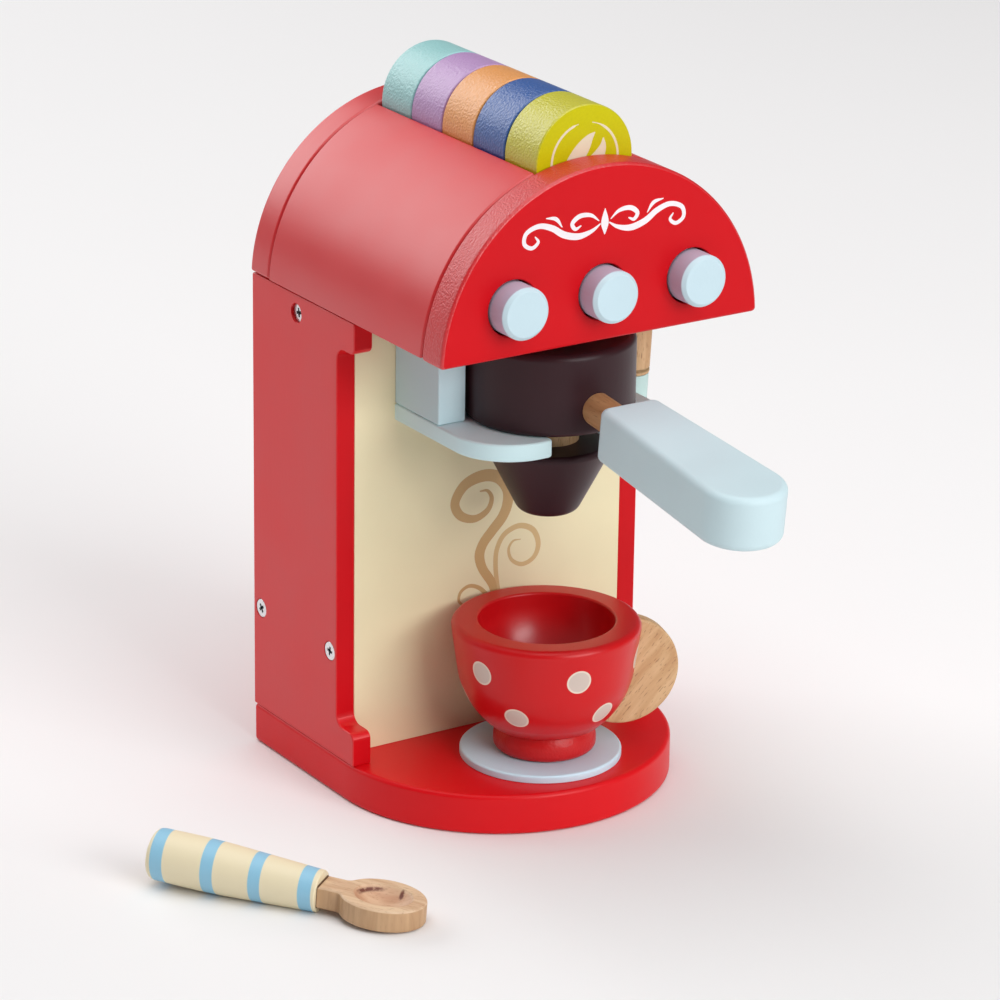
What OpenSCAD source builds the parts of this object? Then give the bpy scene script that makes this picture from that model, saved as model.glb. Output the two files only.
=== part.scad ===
// Toy coffee maker in painted wood: a cabinet with an arched head, a fork shelf with a
// removable filter, a spring push-button row, five pods, a cup on its disc and a spoon.
// Millimetres. X right, Y to the rear, Z up. The origin is on the underside of the base,
// at the centre of its round front.

/* [Cabinet] */
// Width of the base and of the cabinet
cabinet_w = 120; // [110:1:130]
// Depth of the base behind the centre of its round front
straight_d = 60; // [56:1:70]
// Thickness of the base board
base_t = 14; // [10:1:18]
// Rounding of the base board's edges
base_edge = 1.6; // [0.5:0.1:3]
// Height of the side panels
panel_h = 156; // [150:1:175]
// Thickness of the side panels
side_t = 7; // [6:0.5:9]
// Setback of the side panels' front edge behind the centre of the round front
waist_y = 5; // [2:0.5:7]
// How far the corbel and the toe stand in front of the waist
step_d = 11; // [8:0.5:14]
// Height of the corbel and of the toe
step_h = 11.5; // [9:0.5:16]
// Radius of the hollow corners beside the waist
waist_r = 4; // [2:0.5:5]
// Radius of the rounded tips of the corbel and the toe
tip_r = 2.6; // [1:0.2:3.4]
// Thickness of the cream front panel
front_t = 7; // [6:0.5:9]
// Thickness of the back panel
back_t = 12; // [9:0.5:13]
// Thickness of the top board inside the cabinet
top_t = 14; // [10:1:18]

/* [Head] */
// How far the arch stands out beyond the cabinet's sides
head_over = 0.8; // [0:0.1:2]
// How far the centre of the arch lies below the head's underside
arch_drop = 3; // [0:0.5:6]
// Depth of the head from its front face to its rear face
head_d = 120; // [116:1:130]
// Thickness of the head's front plate and rear plate
plate_t = 12; // [10:0.5:12.5]
// Thickness of the arched cover
cover_t = 6; // [4:0.5:7]
// Thickness of the head's floor
floor_t = 4; // [3:0.2:4.2]
// Rounding of the rims of the plates and the cover
rim_r = 1.2; // [0.4:0.1:2]
// How far the front plate hangs below the head's underside
plate_hang = 0.7; // [0.2:0.1:2]

/* [Pods] */
// Diameter of a pod
pod_d = 36.8; // [32:0.2:39]
// Play of the row of pods along the trough
pod_play = 2; // [0.5:0.1:4]
// Gap between neighbouring pods
pod_gap = 0.1; // [0.1:0.05:0.15]
// Rounding of a pod's rims
pod_edge = 1.2; // [0.4:0.1:2]
// How far the pods' axis lies below the top of the arch
pod_sink = 1.8; // [0:0.2:4]
// Clearance between a pod and the sides of its trough
pod_fit = 0.3; // [0.2:0.1:0.8]
// Thickness of the trough under the pods
trough_t = 4; // [3:0.5:5]

/* [Buttons] */
// Diameter of a button
button_d = 17.4; // [15:0.2:18]
// Distance of the outer buttons' axes from the sides of the arch
button_inset = 26.7; // [26:0.1:30]
// Height of the buttons' axes above the head's underside
button_h = 15.7; // [15:0.1:16.5]
// How far a released button stands in front of the plate
button_proud = 8.1; // [6:0.1:10]
// Radial gap round a button in the plate
button_gap = 0.6; // [0.3:0.1:0.8]
// Chamfer round a button's face
button_edge = 1.2; // [0.5:0.1:2]
// Diameter of the collar that keeps a button in
collar_d = 22.4; // [21:0.2:23]
// Thickness of the collar
collar_t = 3; // [2:0.5:4]
// Travel of a button
button_travel = 5; // [3:0.5:6]
// Diameter of a button's guide stem
stem_d = 6; // [5:0.5:6.5]
// Depth of the stem's socket in the button
stem_socket = 12; // [8:1:16]
// Length of a released spring
spring_l = 15; // [12:0.5:18]
// Outer diameter of a spring
spring_d = 10.4; // [9.6:0.2:12]
// Thickness of the spring wire
wire_d = 1.2; // [0.8:0.1:1.4]
// Turns of a spring
spring_turns = 5; // [4:1:6]
// Thickness of the board behind the springs
spring_board_t = 6; // [5:0.5:8]
// Height of the board behind the springs
spring_board_h = 22; // [20:0.5:23]

/* [Fork shelf] */
// Gap between the fork shelf and the steam wand beside it
shelf_gap = 2; // [1:0.1:4]
// Depth of the fork shelf in front of the cream panel
shelf_d = 57; // [52:1:58]
// Thickness of the fork shelf
shelf_t = 6; // [5:0.5:8]
// Height from the shelf's top to the head's underside
shelf_drop = 34.5; // [34:0.5:40]
// Straight length at the end of a prong, between its rounded corners
prong_flat = 3.2; // [1:0.2:8]
// Radius of the small corners at the mouth of the slot
mouth_r = 2; // [0.5:0.5:4]
// Width of the slot for the filter's neck
slot_w = 24.8; // [24.4:0.2:26]
// Distance from the cream panel to the centre of the slot's round end
slot_end = 30.5; // [29:0.5:31.5]
// Depth of the shelf's tongue in the cream panel
tongue_d = 4; // [2:0.5:5]
// Width of the block on the shelf's left prong
block_w = 10.4; // [8:0.2:11]
// Depth of the block
block_d = 27; // [20:0.5:28]

/* [Filter] */
// Gap between the drum and the block beside it
drum_gap = 1; // [0.6:0.1:4]
// Height of the drum
drum_h = 28; // [24:0.5:30]
// Rounding of the drum's rims
drum_edge = 2.4; // [1:0.2:4]
// Distance from the cream panel to the neck's axis
neck_y = 32.2; // [31.5:0.1:36]
// How far right of the slot's middle the neck rests
neck_x = 2; // [0:0.2:2]
// Diameter of the neck
neck_d = 20; // [16:0.5:20]
// Length of the neck between the drum and the cone
neck_l = 9.2; // [8.4:0.2:14]
// Diameter of the neck's two tenons
tenon_d = 12; // [8:0.5:14]
// Length of a tenon
tenon_l = 9; // [6:0.5:10]
// Diameter of the cone's top
cone_top_d = 45; // [38:0.5:50]
// Diameter of the cone's bottom
cone_tip_d = 19.4; // [16:0.2:24]
// Height of the cone
cone_h = 25; // [20:0.5:30]
// Rounding of the cone's bottom edge
cone_edge = 4; // [2:0.5:5]
// Rounding of the cone's top edge
cone_rim = 1.6; // [0.8:0.2:3]

/* [Handle] */
// How far the handle points down from level
handle_droop = 6; // [0:0.5:8]
// Diameter of the beech dowel
dowel_d = 11; // [8:0.5:12]
// Height of the handle's axis above the shelf, where the dowel leaves the drum
handle_h = 8.8; // [8:0.1:12]
// Bare length of the dowel between the drum and the grip
dowel_bare = 15.6; // [13:0.2:24]
// Depth of the dowel in the drum and in the grip
dowel_in = 14; // [10:1:16]
// Length of the grip
grip_l = 78.4; // [70:0.2:100]
// Thickness of the grip
grip_t = 18.4; // [14:0.2:20]
// Width of the grip at its near end
grip_near_w = 22.6; // [16:0.2:24]
// Width of the grip at its far end
grip_far_w = 28.6; // [24:0.2:32]
// Rounding of the grip's edges
grip_edge = 2.4; // [1.6:0.2:4.5]
// Radius of the grip's two near corners, seen from above
grip_corner = 3.4; // [3:0.2:6]

/* [Steam wand] */
// Gap between the wand and the right side panel
wand_gap = 0.1; // [0.1:0.1:2]
// Distance of the wand's axis in front of the cream panel
wand_y = 16.3; // [16:0.5:20]
// Diameter of the beech sleeve at the head's underside
wand_top_d = 15; // [13:0.5:15.5]
// Diameter of the beech sleeve at its lower end
wand_end_d = 12; // [11:0.2:12.4]
// Length of the beech sleeve
wand_l = 33; // [28:0.5:36]
// Diameter of the nozzle where it leaves the sleeve
nozzle_d = 11.6; // [9:0.2:12]
// Diameter of the nozzle at its tip
nozzle_tip_d = 9.6; // [8:0.2:11]
// Length of the nozzle below the sleeve
nozzle_l = 25; // [16:0.5:28]
// Rounding of the sleeve's lower edge
wand_edge = 1.8; // [0.8:0.2:2.4]
// Rounding of the nozzle's tip
nozzle_edge = 2.4; // [1:0.2:3]
// Diameter of the wand's tenon in the head's floor and of the nozzle's tenon
wand_tenon = 6; // [5:0.5:8]

/* [Cup] */
// Place of the cup's axis from the middle of the cabinet
cup_x = 2.2; // [-4:0.1:5]
// Gap between the cup's rim and the cream panel behind it
cup_gap = 0.3; // [0.3:0.1:3]
// Height of the cup
cup_h = 45.8; // [40:0.2:48]
// Outer diameter of the cup's rim
cup_d = 64.4; // [60:0.2:66]
// Diameter of the hollow at the rim
hollow_d = 45.8; // [40:0.2:50]
// Depth of the hollow
hollow_depth = 27; // [24:0.5:29]
// Outer diameter of the foot
foot_d = 34.8; // [30:0.2:36]
// Height of the foot, which narrows towards the bowl
foot_h = 9.4; // [7:0.2:10]
// Diameter of the neck between the foot and the bowl
cup_neck_d = 31.6; // [26:0.2:33]
// Radius of the cup's round bowl, outside
bowl_r = 30; // [28:0.1:30.2]
// Height of the bowl's centre above the foot's underside
bowl_z = 32.8; // [32:0.2:36]
// Rounding of the foot's lower edge
foot_edge = 2.6; // [1:0.2:3]
// Rounding of the cup's rim
cup_rim = 2.4; // [1:0.2:3]
// Radius of the beech handle disc
ear_r = 19; // [16:0.5:20]
// Thickness of the handle disc
ear_t = 6; // [5:0.2:8]
// Distance of the disc's centre from the cup's axis
ear_x = 27.2; // [25:0.2:30]
// Height of the disc's centre above the foot's underside
ear_z = 24.8; // [22:0.2:26]
// Turn of the handle disc towards the front
ear_turn = 16; // [0:1:30]
// Rounding of the handle disc's rims
ear_edge = 0.8; // [0.4:0.1:1.6]
// Diameter of the dowel between the disc and the bowl
ear_dowel_d = 4; // [3:0.5:5]
// Length of that dowel
ear_dowel_l = 12; // [8:1:14]
// Radius of the pale disc under the cup
disc_r = 27.3; // [24:0.2:30]
// Thickness of the pale disc
disc_t = 2.7; // [2:0.1:4]
// Rounding of the pale disc's lower edge
disc_foot = 0.4; // [0.2:0.1:0.8]
// Rounding of the pale disc's upper edge
disc_edge = 0.8; // [0.4:0.1:1.2]
// Place of the pale disc from the middle of the cabinet
disc_x = 1.1; // [-2:0.1:3]
// Place of the pale disc in front of the centre of the round front
disc_y = 26.8; // [24:0.2:28]

/* [Spoon] */
// Place of the spoon handle's far end, left of the middle of the cabinet
spoon_x = 145.6; // [140:0.1:150]
// Place of the spoon handle's far end, in front of the centre of the round front
spoon_y = 23.7; // [16:0.1:30]
// Turn of the spoon from the X axis, clockwise seen from above
spoon_turn = 52.3; // [50:0.1:62]
// Length of the turned handle
spoon_l = 58.4; // [54:0.2:66]
// Diameter of the turned handle at its far end
spoon_end_d = 17; // [14:0.2:17.4]
// Diameter of the handle at its belly
spoon_d = 17.6; // [15:0.2:18]
// Distance of the belly from the far end
belly_x = 20; // [16:0.5:26]
// Diameter of the handle where the head enters it
spoon_neck_d = 13.8; // [12:0.2:15]
// Rounding of the handle's far end
spoon_end_edge = 2.4; // [1:0.2:3]
// Rounding of the handle's end at the head
spoon_neck_edge = 1; // [0.4:0.2:2]
// Radius of the swell along the handle's belly
belly_r = 300; // [200:10:400]
// Thickness of the beech head
head_t = 7.5; // [7:0.1:9]
// Width of the head's neck
head_neck_w = 9.8; // [8:0.2:10]
// Rounding of the corners between the neck and the oval
head_fillet = 2.5; // [1:0.5:4]
// Half the length of the head's oval end
oval_long = 14.5; // [12:0.1:15]
// Half the width of the head's oval end
oval_wide = 11.5; // [10.4:0.1:12]
// Distance from the handle to the centre of the oval
oval_x = 20.6; // [19:0.2:26]
// Radius of the hollow across the spoon
scoop_r = 9.2; // [8:0.1:10]
// Radius of the hollow along the spoon
scoop_long_r = 13.6; // [11:0.2:15]
// Depth of the hollow
scoop_depth = 4.2; // [3:0.1:4.6]
// Distance from the handle to the centre of the hollow
scoop_x = 20.8; // [19:0.2:24]
// Diameter of the head's tenon in the handle
spoon_tenon = 5; // [4:0.5:5.5]
// Length of the head's tenon in the handle
spoon_tenon_l = 10; // [8:0.5:14]

/* [Screws] */
// Diameter of a screw's head
screw_head_d = 6.6; // [5.5:0.1:7]
// Diameter of a screw's shank
screw_d = 3.2; // [2.5:0.1:3.4]
// Length of a screw
screw_l = 24; // [20:1:26]
// Length of the short screws that hold the head
short_screw_l = 17.5; // [16:0.5:18]
// Depth of the recess over the upper side screws
recess_d = 1; // [0.5:0.1:3]
// Height of the lower side screws above the base's top
side_screw_z = 36.5; // [30:0.5:50]
// Distance of the outer base screws from the side faces
base_screw_in = 4.5; // [4.3:0.1:5]
// Radial clearance of dowels, stems and screws in their holes
glue = 0.05; // [0.02:0.01:0.1]
// Smoothness of round faces
smooth = 96; // [64:8:160]

/* [Hidden] */
$fn = smooth;

red = [0.84, 0.12, 0.14];
cream = [0.90, 0.85, 0.71];
pale_blue = [0.79, 0.87, 0.90];
dark_brown = [0.22, 0.14, 0.15];
beech = [0.80, 0.65, 0.47];
steel = [0.75, 0.76, 0.78];
pod_colours = [[0.76, 0.80, 0.10], [0.20, 0.32, 0.58], [0.90, 0.60, 0.34], [0.70, 0.55, 0.76],
               [0.60, 0.83, 0.80]];

side_x = cabinet_w / 2;
inner_x = side_x - side_t;
head_r = side_x + head_over;
front_face_y = waist_y;
back_inner_y = straight_d - back_t;
corbel_y = waist_y - step_d;
head_z = base_t + panel_h;
seat_play = 0.05;
arch_z = head_z - arch_drop;
head_back_y = straight_d;
head_front_y = straight_d - head_d;
cover_front_y = head_front_y + plate_t;
cover_back_y = head_back_y - plate_t;
cover_l = cover_back_y - cover_front_y;
cover_in_r = head_r - cover_t;
pod_t = (cover_l - pod_play) / 5 - pod_gap;
floor_half_w = sqrt(pow(cover_in_r, 2) - pow(arch_drop + floor_t, 2));

pod_r = pod_d / 2;
trough_r = pod_r + pod_fit;
pod_z = arch_z + head_r - pod_sink;
trough_z = pod_z + pod_fit - seat_play;

button_z = head_z + button_h;
button_pitch = head_r - button_inset;
button_xs = [-button_pitch, 0, button_pitch];
button_hole_r = button_d / 2 + button_gap;
collar_play = 0.1;
collar_y = cover_front_y + collar_play;
spring_y = collar_y + collar_t;
spring_board_y = spring_y + spring_l;
stem_past = 2;

shelf_top_z = head_z - shelf_drop;
shelf_z = shelf_top_z - shelf_t;
neck_axis = [neck_x, front_face_y - neck_y];
cone_top_z = shelf_top_z - neck_l;

wand_axis = [inner_x - wand_gap - wand_top_d / 2, front_face_y - wand_y];
wand_end_z = head_z - wand_l;
nozzle_play = 0.1;
shelf_w = 2 * (wand_axis[0] - nozzle_d / 2 - shelf_gap);
shelf_r = (shelf_w - slot_w) / 2 - mouth_r - prong_flat;
drum_d = 2 * (shelf_w / 2 - block_w + neck_x - drum_gap);

cup_z = base_t + disc_t;
cup_axis = [cup_x, front_face_y - cup_gap - cup_d / 2];

spoon_tip_x = spoon_l + oval_x + oval_long;
spoon_lean = asin((spoon_d - head_t) / 2 / (spoon_tip_x - belly_x));

top_board_z = head_z - top_t;
top_board_mid_y = (front_face_y + front_t + back_inner_y) / 2;
front_screw_y = front_face_y + front_t / 2;
back_screw_y = straight_d - back_t / 2;
side_screw_at = [[back_screw_y, base_t + side_screw_z, 0], [front_screw_y, base_t + side_screw_z, 0],
                 [top_board_mid_y, top_board_z + top_t / 2, recess_d]];
base_screw_x = side_x - base_screw_in;
base_screw_at = [[-base_screw_x, 20], [base_screw_x, 20], [-base_screw_x, 42], [base_screw_x, 42],
                 [-inner_x / 2, back_screw_y], [inner_x / 2, back_screw_y]];
head_screw_at = [[-inner_x / 2, top_board_mid_y], [inner_x / 2, top_board_mid_y]];
sink = 0.3;
past = 1;
hair = 0.01;

// Sides and rings per turn of the spring wire, sides of the grip's posts, and the wider hole in the grip.
wire_sides = 6;
turn_rings = 16;
post_sides = 40;
grip_glue = 2 * glue;
// Heights of the handle disc's two dowels from the disc's centre.
ear_dowel_lifts = [-5.5, 6.5];
// Angle left free at each side of the oval's neck for the rounded corner.
neck_clear = 16;

// ---- outline helpers ----

// Points of an arc of radius r that rounds the corner at b, between its neighbours a and c.
function round_corner(a, b, c, r) =
  let (
    u = (a - b) / norm(a - b),
    v = (c - b) / norm(c - b),
    half = acos(u * v) / 2,
    centre = b + (u + v) / norm(u + v) * r / sin(half),
    from = b + u * r / tan(half) - centre,
    to = b + v * r / tan(half) - centre,
    start = atan2(from[1], from[0]),
    raw = atan2(to[1], to[0]) - start,
    sweep = raw > 180 ? raw - 360 : (raw < -180 ? raw + 360 : raw),
    steps = max(6, ceil(abs(sweep) / 360 * smooth))
  )
  [for (i = [0:steps]) centre + r * [cos(start + sweep * i / steps), sin(start + sweep * i / steps)]];

// An outline from corners [x, y, radius]; a radius of 0 leaves the corner sharp.
function outline(p) =
  [for (i = [0:len(p) - 1])
    let (a = p[(i + len(p) - 1) % len(p)], b = p[i], c = p[(i + 1) % len(p)])
    each (b[2] > 0 ? round_corner([a[0], a[1]], [b[0], b[1]], [c[0], c[1]], b[2]) : [[b[0], b[1]]])];

module shape(p) {
  polygon(outline(p));
}

// Lays a drawing in X and Z flat against the XZ plane and gives it a depth along +Y.
module along_y(depth) {
  translate([0, depth, 0])
    rotate([90, 0, 0])
      linear_extrude(depth)
        children();
}

module box(x0, x1, y0, y1, z0, z1) {
  translate([x0, y0, z0])
    cube([x1 - x0, y1 - y0, z1 - z0]);
}

// ---- screws ----

// A countersunk wood screw along +Z, its head's face at the origin.
module screw(length, grow = 0) {
  head_h = (screw_head_d - screw_d) / 2;
  rotate_extrude()
    polygon([[0, 0], [screw_head_d / 2 + grow, 0], [screw_d / 2 + grow, head_h], [screw_d / 2 + grow, length - 2],
             [0, length + grow]]);
}

// The hole for that screw, with a straight bore of the given depth above its head.
module screw_hole(length, recess) {
  screw(length, glue);
  translate([0, 0, -recess - past])
    cylinder(d = screw_head_d + 2 * glue, h = recess + past + glue);
}

module at_side_screws() {
  for (side = [-1, 1], at = side_screw_at)
    translate([side * (side_x - at[2]), at[0], at[1]])
      rotate([0, -side * 90, 0])
        children();
}

// ---- cabinet ----

module base_board() {
  color(red)
    difference() {
      union() {
        along_y(straight_d)
          shape([[-side_x, 0, base_edge], [side_x, 0, base_edge], [side_x, base_t, base_edge],
                 [-side_x, base_t, base_edge]]);
        rotate([0, 0, 180])
          rotate_extrude(angle = 180)
            shape([[0, 0, 0], [side_x, 0, base_edge], [side_x, base_t, base_edge], [0, base_t, 0]]);
      }
      for (at = base_screw_at)
        translate([at[0], at[1], sink])
          screw_hole(screw_l, sink);
    }
}

module side_panel() {
  difference() {
    translate([-side_x, 0, base_t])
      rotate([90, 0, 90])
        linear_extrude(side_t)
          shape([[corbel_y, 0, 0], [straight_d, 0, 0], [straight_d, panel_h, 0],
                 [corbel_y, panel_h, 0], [corbel_y, panel_h - step_h, tip_r],
                 [waist_y, panel_h - step_h, waist_r], [waist_y, step_h, waist_r],
                 [corbel_y, step_h, tip_r]]);
    for (at = side_screw_at)
      translate([-side_x + at[2], at[0], at[1]])
        rotate([0, 90, 0])
          screw_hole(screw_l, at[2]);
    for (at = base_screw_at)
      translate([at[0], at[1], sink])
        screw_hole(screw_l, sink);
  }
}

module side_panel_left() {
  color(red)
    side_panel();
}

module side_panel_right() {
  color(red)
    mirror([1, 0, 0])
      side_panel();
}

module front_panel() {
  color(cream)
    difference() {
      box(-inner_x, inner_x, front_face_y, front_face_y + front_t, base_t, head_z);
      box(-shelf_w / 2 - glue, shelf_w / 2 + glue, front_face_y - past, front_face_y + tongue_d + glue,
          shelf_z - glue, shelf_top_z + glue);
      at_side_screws()
        screw_hole(screw_l, 0);
    }
}

module back_panel() {
  color(red)
    difference() {
      box(-inner_x, inner_x, back_inner_y, straight_d, base_t, head_z);
      at_side_screws()
        screw_hole(screw_l, 0);
      for (at = base_screw_at)
        translate([at[0], at[1], sink])
          screw_hole(screw_l, sink);
    }
}

module top_board() {
  color(beech)
    difference() {
      box(-inner_x, inner_x, front_face_y + front_t, back_inner_y, top_board_z, head_z);
      at_side_screws()
        screw_hole(screw_l, 0);
      for (at = head_screw_at)
        translate([at[0], at[1], top_board_z + sink])
          screw_hole(short_screw_l, sink);
    }
}

// ---- head ----

// The half-round of the given radius that stands on the plane at the given height.
module arch(radius, bottom) {
  intersection() {
    translate([0, arch_z])
      circle(radius);
    translate([-2 * radius, bottom])
      square([4 * radius, 2 * radius]);
  }
}

// A turned half-round whose two outer rims are rounded, between two places along Y.
module rounded_arch(y0, y1, bottom = head_z) {
  intersection() {
    translate([0, y0, arch_z])
      rotate([-90, 0, 0])
        rotate_extrude()
          shape([[0, 0, 0], [head_r, 0, rim_r], [head_r, y1 - y0, rim_r], [0, y1 - y0, 0]]);
    box(-2 * head_r, 2 * head_r, y0 - past, y1 + past, bottom, head_z + 2 * head_r);
  }
}

module head_floor() {
  color(red)
    difference() {
      box(-floor_half_w, floor_half_w, cover_front_y, cover_back_y, head_z, head_z + floor_t);
      for (at = head_screw_at)
        translate([at[0], at[1], top_board_z + sink])
          screw_hole(short_screw_l, sink);
      translate([wand_axis[0], wand_axis[1], head_z - past])
        cylinder(d = wand_tenon + 2 * glue, h = floor_t + 2 * past);
    }
}

// One half of the arched cover, beside the pods.
module head_cover_left() {
  color(red)
    difference() {
      rounded_arch(cover_front_y, cover_back_y);
      translate([0, cover_front_y - past, 0])
        along_y(cover_l + 2 * past) {
          arch(cover_in_r, head_z + floor_t);
          translate([-floor_half_w, head_z - past])
            square([2 * floor_half_w, floor_t + past]);
          translate([-trough_r, head_z - past])
            square([2 * head_r, 2 * head_r]);
        }
    }
}

module head_cover_right() {
  mirror([1, 0, 0])
    head_cover_left();
}

module head_front_plate() {
  color(red)
    difference() {
      rounded_arch(head_front_y, cover_front_y, head_z - plate_hang);
      for (x = button_xs)
        translate([x, head_front_y - past, button_z])
          rotate([-90, 0, 0])
            cylinder(r = button_hole_r, h = plate_t + 2 * past);
    }
}

module head_rear_plate() {
  color(red)
    rounded_arch(cover_back_y, head_back_y);
}

module pod_trough() {
  color(beech)
    translate([0, cover_front_y, 0])
      along_y(cover_l)
        intersection() {
          difference() {
            translate([0, trough_z])
              circle(trough_r + trough_t);
            translate([0, trough_z])
              circle(trough_r);
          }
          arch(cover_in_r - 2 * glue, head_z);
        }
}

module spring_board() {
  color(beech)
    difference() {
      translate([0, spring_board_y, 0])
        along_y(spring_board_t)
          intersection() {
            arch(cover_in_r - 2 * glue, head_z + floor_t);
            translate([-cabinet_w, head_z + floor_t])
              square([2 * cabinet_w, spring_board_h]);
          }
      for (x = button_xs)
        translate([x, spring_board_y - past, button_z])
          rotate([-90, 0, 0])
            cylinder(d = stem_d + 2 * glue, h = spring_board_t + 2 * past);
    }
}

// ---- push buttons ----

// A turned button with its collar, its axis along +Y at the given X.
module button(x) {
  color(pale_blue)
    translate([x, head_front_y - button_proud, button_z])
      rotate([-90, 0, 0])
        difference() {
          union() {
            cylinder(d1 = button_d - 2 * button_edge, d2 = button_d, h = button_edge);
            translate([0, 0, button_edge])
              cylinder(d = button_d, h = button_proud + plate_t + collar_play + collar_t - button_edge);
            translate([0, 0, button_proud + plate_t + collar_play])
              cylinder(d = collar_d, h = collar_t);
          }
          translate([0, 0, button_proud + plate_t + collar_play + collar_t - stem_socket])
            cylinder(d = stem_d + 2 * glue, h = stem_socket + past);
        }
}

// The guide stem: glued in the button, it slides through the board behind the spring.
module stem(x) {
  color(beech)
    translate([x, spring_y - stem_socket, button_z])
      rotate([-90, 0, 0])
        cylinder(d = stem_d, h = stem_socket + spring_l + spring_board_t + stem_past);
}

// One ring of the spring wire, square to the coil's path at the given angle.
function wire_ring(angle) =
  let (
    mid_r = (spring_d - wire_d) / 2,
    rise = spring_l - wire_d,
    centre = [mid_r * cos(angle), mid_r * sin(angle), wire_d / 2 + rise * angle / (360 * spring_turns)],
    radial = [cos(angle), sin(angle), 0]
  )
  [for (s = [0:wire_sides - 1])
    centre + wire_d / 2 * (cos(s * 360 / wire_sides) * radial + sin(s * 360 / wire_sides) * [0, 0, 1])];

// A coil spring between the button's collar and the board, swept along a helix.
module spring(x) {
  n = wire_sides;
  rings = spring_turns * turn_rings;
  points = [for (i = [0:rings]) each wire_ring(i * 360 / turn_rings)];
  start_cap = [[for (s = [0:n - 1]) s]];
  end_cap = [[for (s = [n - 1:-1:0]) rings * n + s]];
  walls = [for (i = [0:rings - 1], s = [0:n - 1])
    [i * n + s, (i + 1) * n + s, (i + 1) * n + (s + 1) % n, i * n + (s + 1) % n]];
  color(steel)
    translate([x, spring_y, button_z])
      rotate([-90, 0, 0])
        polyhedron(points, concat(start_cap, walls, end_cap));
}

module button_left() { button(button_xs[0]); }
module button_middle() { button(button_xs[1]); }
module button_right() { button(button_xs[2]); }
module stem_left() { stem(button_xs[0]); }
module stem_middle() { stem(button_xs[1]); }
module stem_right() { stem(button_xs[2]); }
module spring_left() { spring(button_xs[0]); }
module spring_middle() { spring(button_xs[1]); }
module spring_right() { spring(button_xs[2]); }

// ---- fork shelf and steam wand ----

module fork_shelf() {
  slot_r = slot_w / 2;
  color(pale_blue)
    translate([0, front_face_y, shelf_z])
      difference() {
        linear_extrude(shelf_t)
          shape([[-shelf_w / 2, tongue_d, 0], [shelf_w / 2, tongue_d, 0], [shelf_w / 2, -shelf_d, shelf_r],
                 [slot_r, -shelf_d, mouth_r], [slot_r, -slot_end, 0], [-slot_r, -slot_end, 0],
                 [-slot_r, -shelf_d, mouth_r], [-shelf_w / 2, -shelf_d, shelf_r]]);
        translate([0, -slot_end, -past])
          cylinder(r = slot_r, h = shelf_t + 2 * past);
      }
}

module shelf_block() {
  color(pale_blue)
    box(-shelf_w / 2, -shelf_w / 2 + block_w, front_face_y - block_d, front_face_y, shelf_top_z, head_z);
}

module wand_sleeve() {
  end_r = wand_end_d / 2;
  color(beech)
    translate([wand_axis[0], wand_axis[1], wand_end_z])
      difference() {
        union() {
          rotate_extrude()
            shape([[0, 0, 0], [end_r, 0, wand_edge], [wand_top_d / 2, wand_l, 0], [0, wand_l, 0]]);
          cylinder(d = wand_tenon, h = wand_l + floor_t - glue);
        }
        translate([0, 0, -past])
          cylinder(d = wand_tenon + 2 * glue, h = wand_tenon + past);
      }
}

module wand_nozzle() {
  tip_r = nozzle_tip_d / 2;
  color(pale_blue)
    translate([wand_axis[0], wand_axis[1], wand_end_z - nozzle_l]) {
      rotate_extrude()
        shape([[0, 0, 0], [tip_r, 0, nozzle_edge], [nozzle_d / 2, nozzle_l, 0], [0, nozzle_l, 0]]);
      cylinder(d = wand_tenon, h = nozzle_l + wand_tenon - nozzle_play);
    }
}

// ---- filter with its handle ----

// Moves to the neck's axis at the shelf's top and turns +X to the front.
module at_filter() {
  translate([neck_axis[0], neck_axis[1], shelf_top_z + seat_play])
    rotate([0, 0, -90])
      children();
}

// Moves to where the dowel leaves the drum, with the handle's axis along +X.
module at_handle() {
  at_filter()
    translate([drum_d / 2, 0, handle_h])
      rotate([0, handle_droop, 0])
        children();
}

module filter_drum() {
  r = drum_d / 2;
  color(dark_brown)
    difference() {
      at_filter()
        difference() {
          rotate_extrude()
            shape([[0, 0, 0], [r, 0, drum_edge], [r, drum_h, drum_edge], [0, drum_h, 0]]);
          translate([0, 0, -past])
            cylinder(d = tenon_d + 2 * glue, h = tenon_l + past + glue);
        }
      at_handle()
        translate([-dowel_in - glue, 0, 0])
          rotate([0, 90, 0])
            cylinder(d = dowel_d + 2 * glue, h = 2 * dowel_in);
    }
}

module filter_neck() {
  color(beech)
    at_filter() {
      translate([0, 0, -neck_l])
        cylinder(d = neck_d, h = neck_l);
      translate([0, 0, -neck_l - tenon_l])
        cylinder(d = tenon_d, h = neck_l + 2 * tenon_l);
    }
}

module filter_cone() {
  color(dark_brown)
    at_filter()
      difference() {
        translate([0, 0, -neck_l - cone_h])
          rotate_extrude()
            shape([[0, 0, 0], [cone_tip_d / 2, 0, cone_edge], [cone_top_d / 2, cone_h, cone_rim],
                   [0, cone_h, 0]]);
        translate([0, 0, -neck_l - tenon_l - glue])
          cylinder(d = tenon_d + 2 * glue, h = tenon_l + past);
      }
}

module handle_dowel() {
  color(beech)
    at_handle()
      translate([-dowel_in, 0, 0])
        rotate([0, 90, 0])
          cylinder(d = dowel_d, h = dowel_bare + 2 * dowel_in);
}

// A round post of the grip with rolled edges, standing on the XY plane.
module grip_post(radius) {
  rotate_extrude($fn = post_sides)
    shape([[0, -grip_t / 2, 0], [radius, -grip_t / 2, grip_edge - hair], [radius, grip_t / 2, grip_edge - hair],
           [0, grip_t / 2, 0]]);
}

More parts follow.
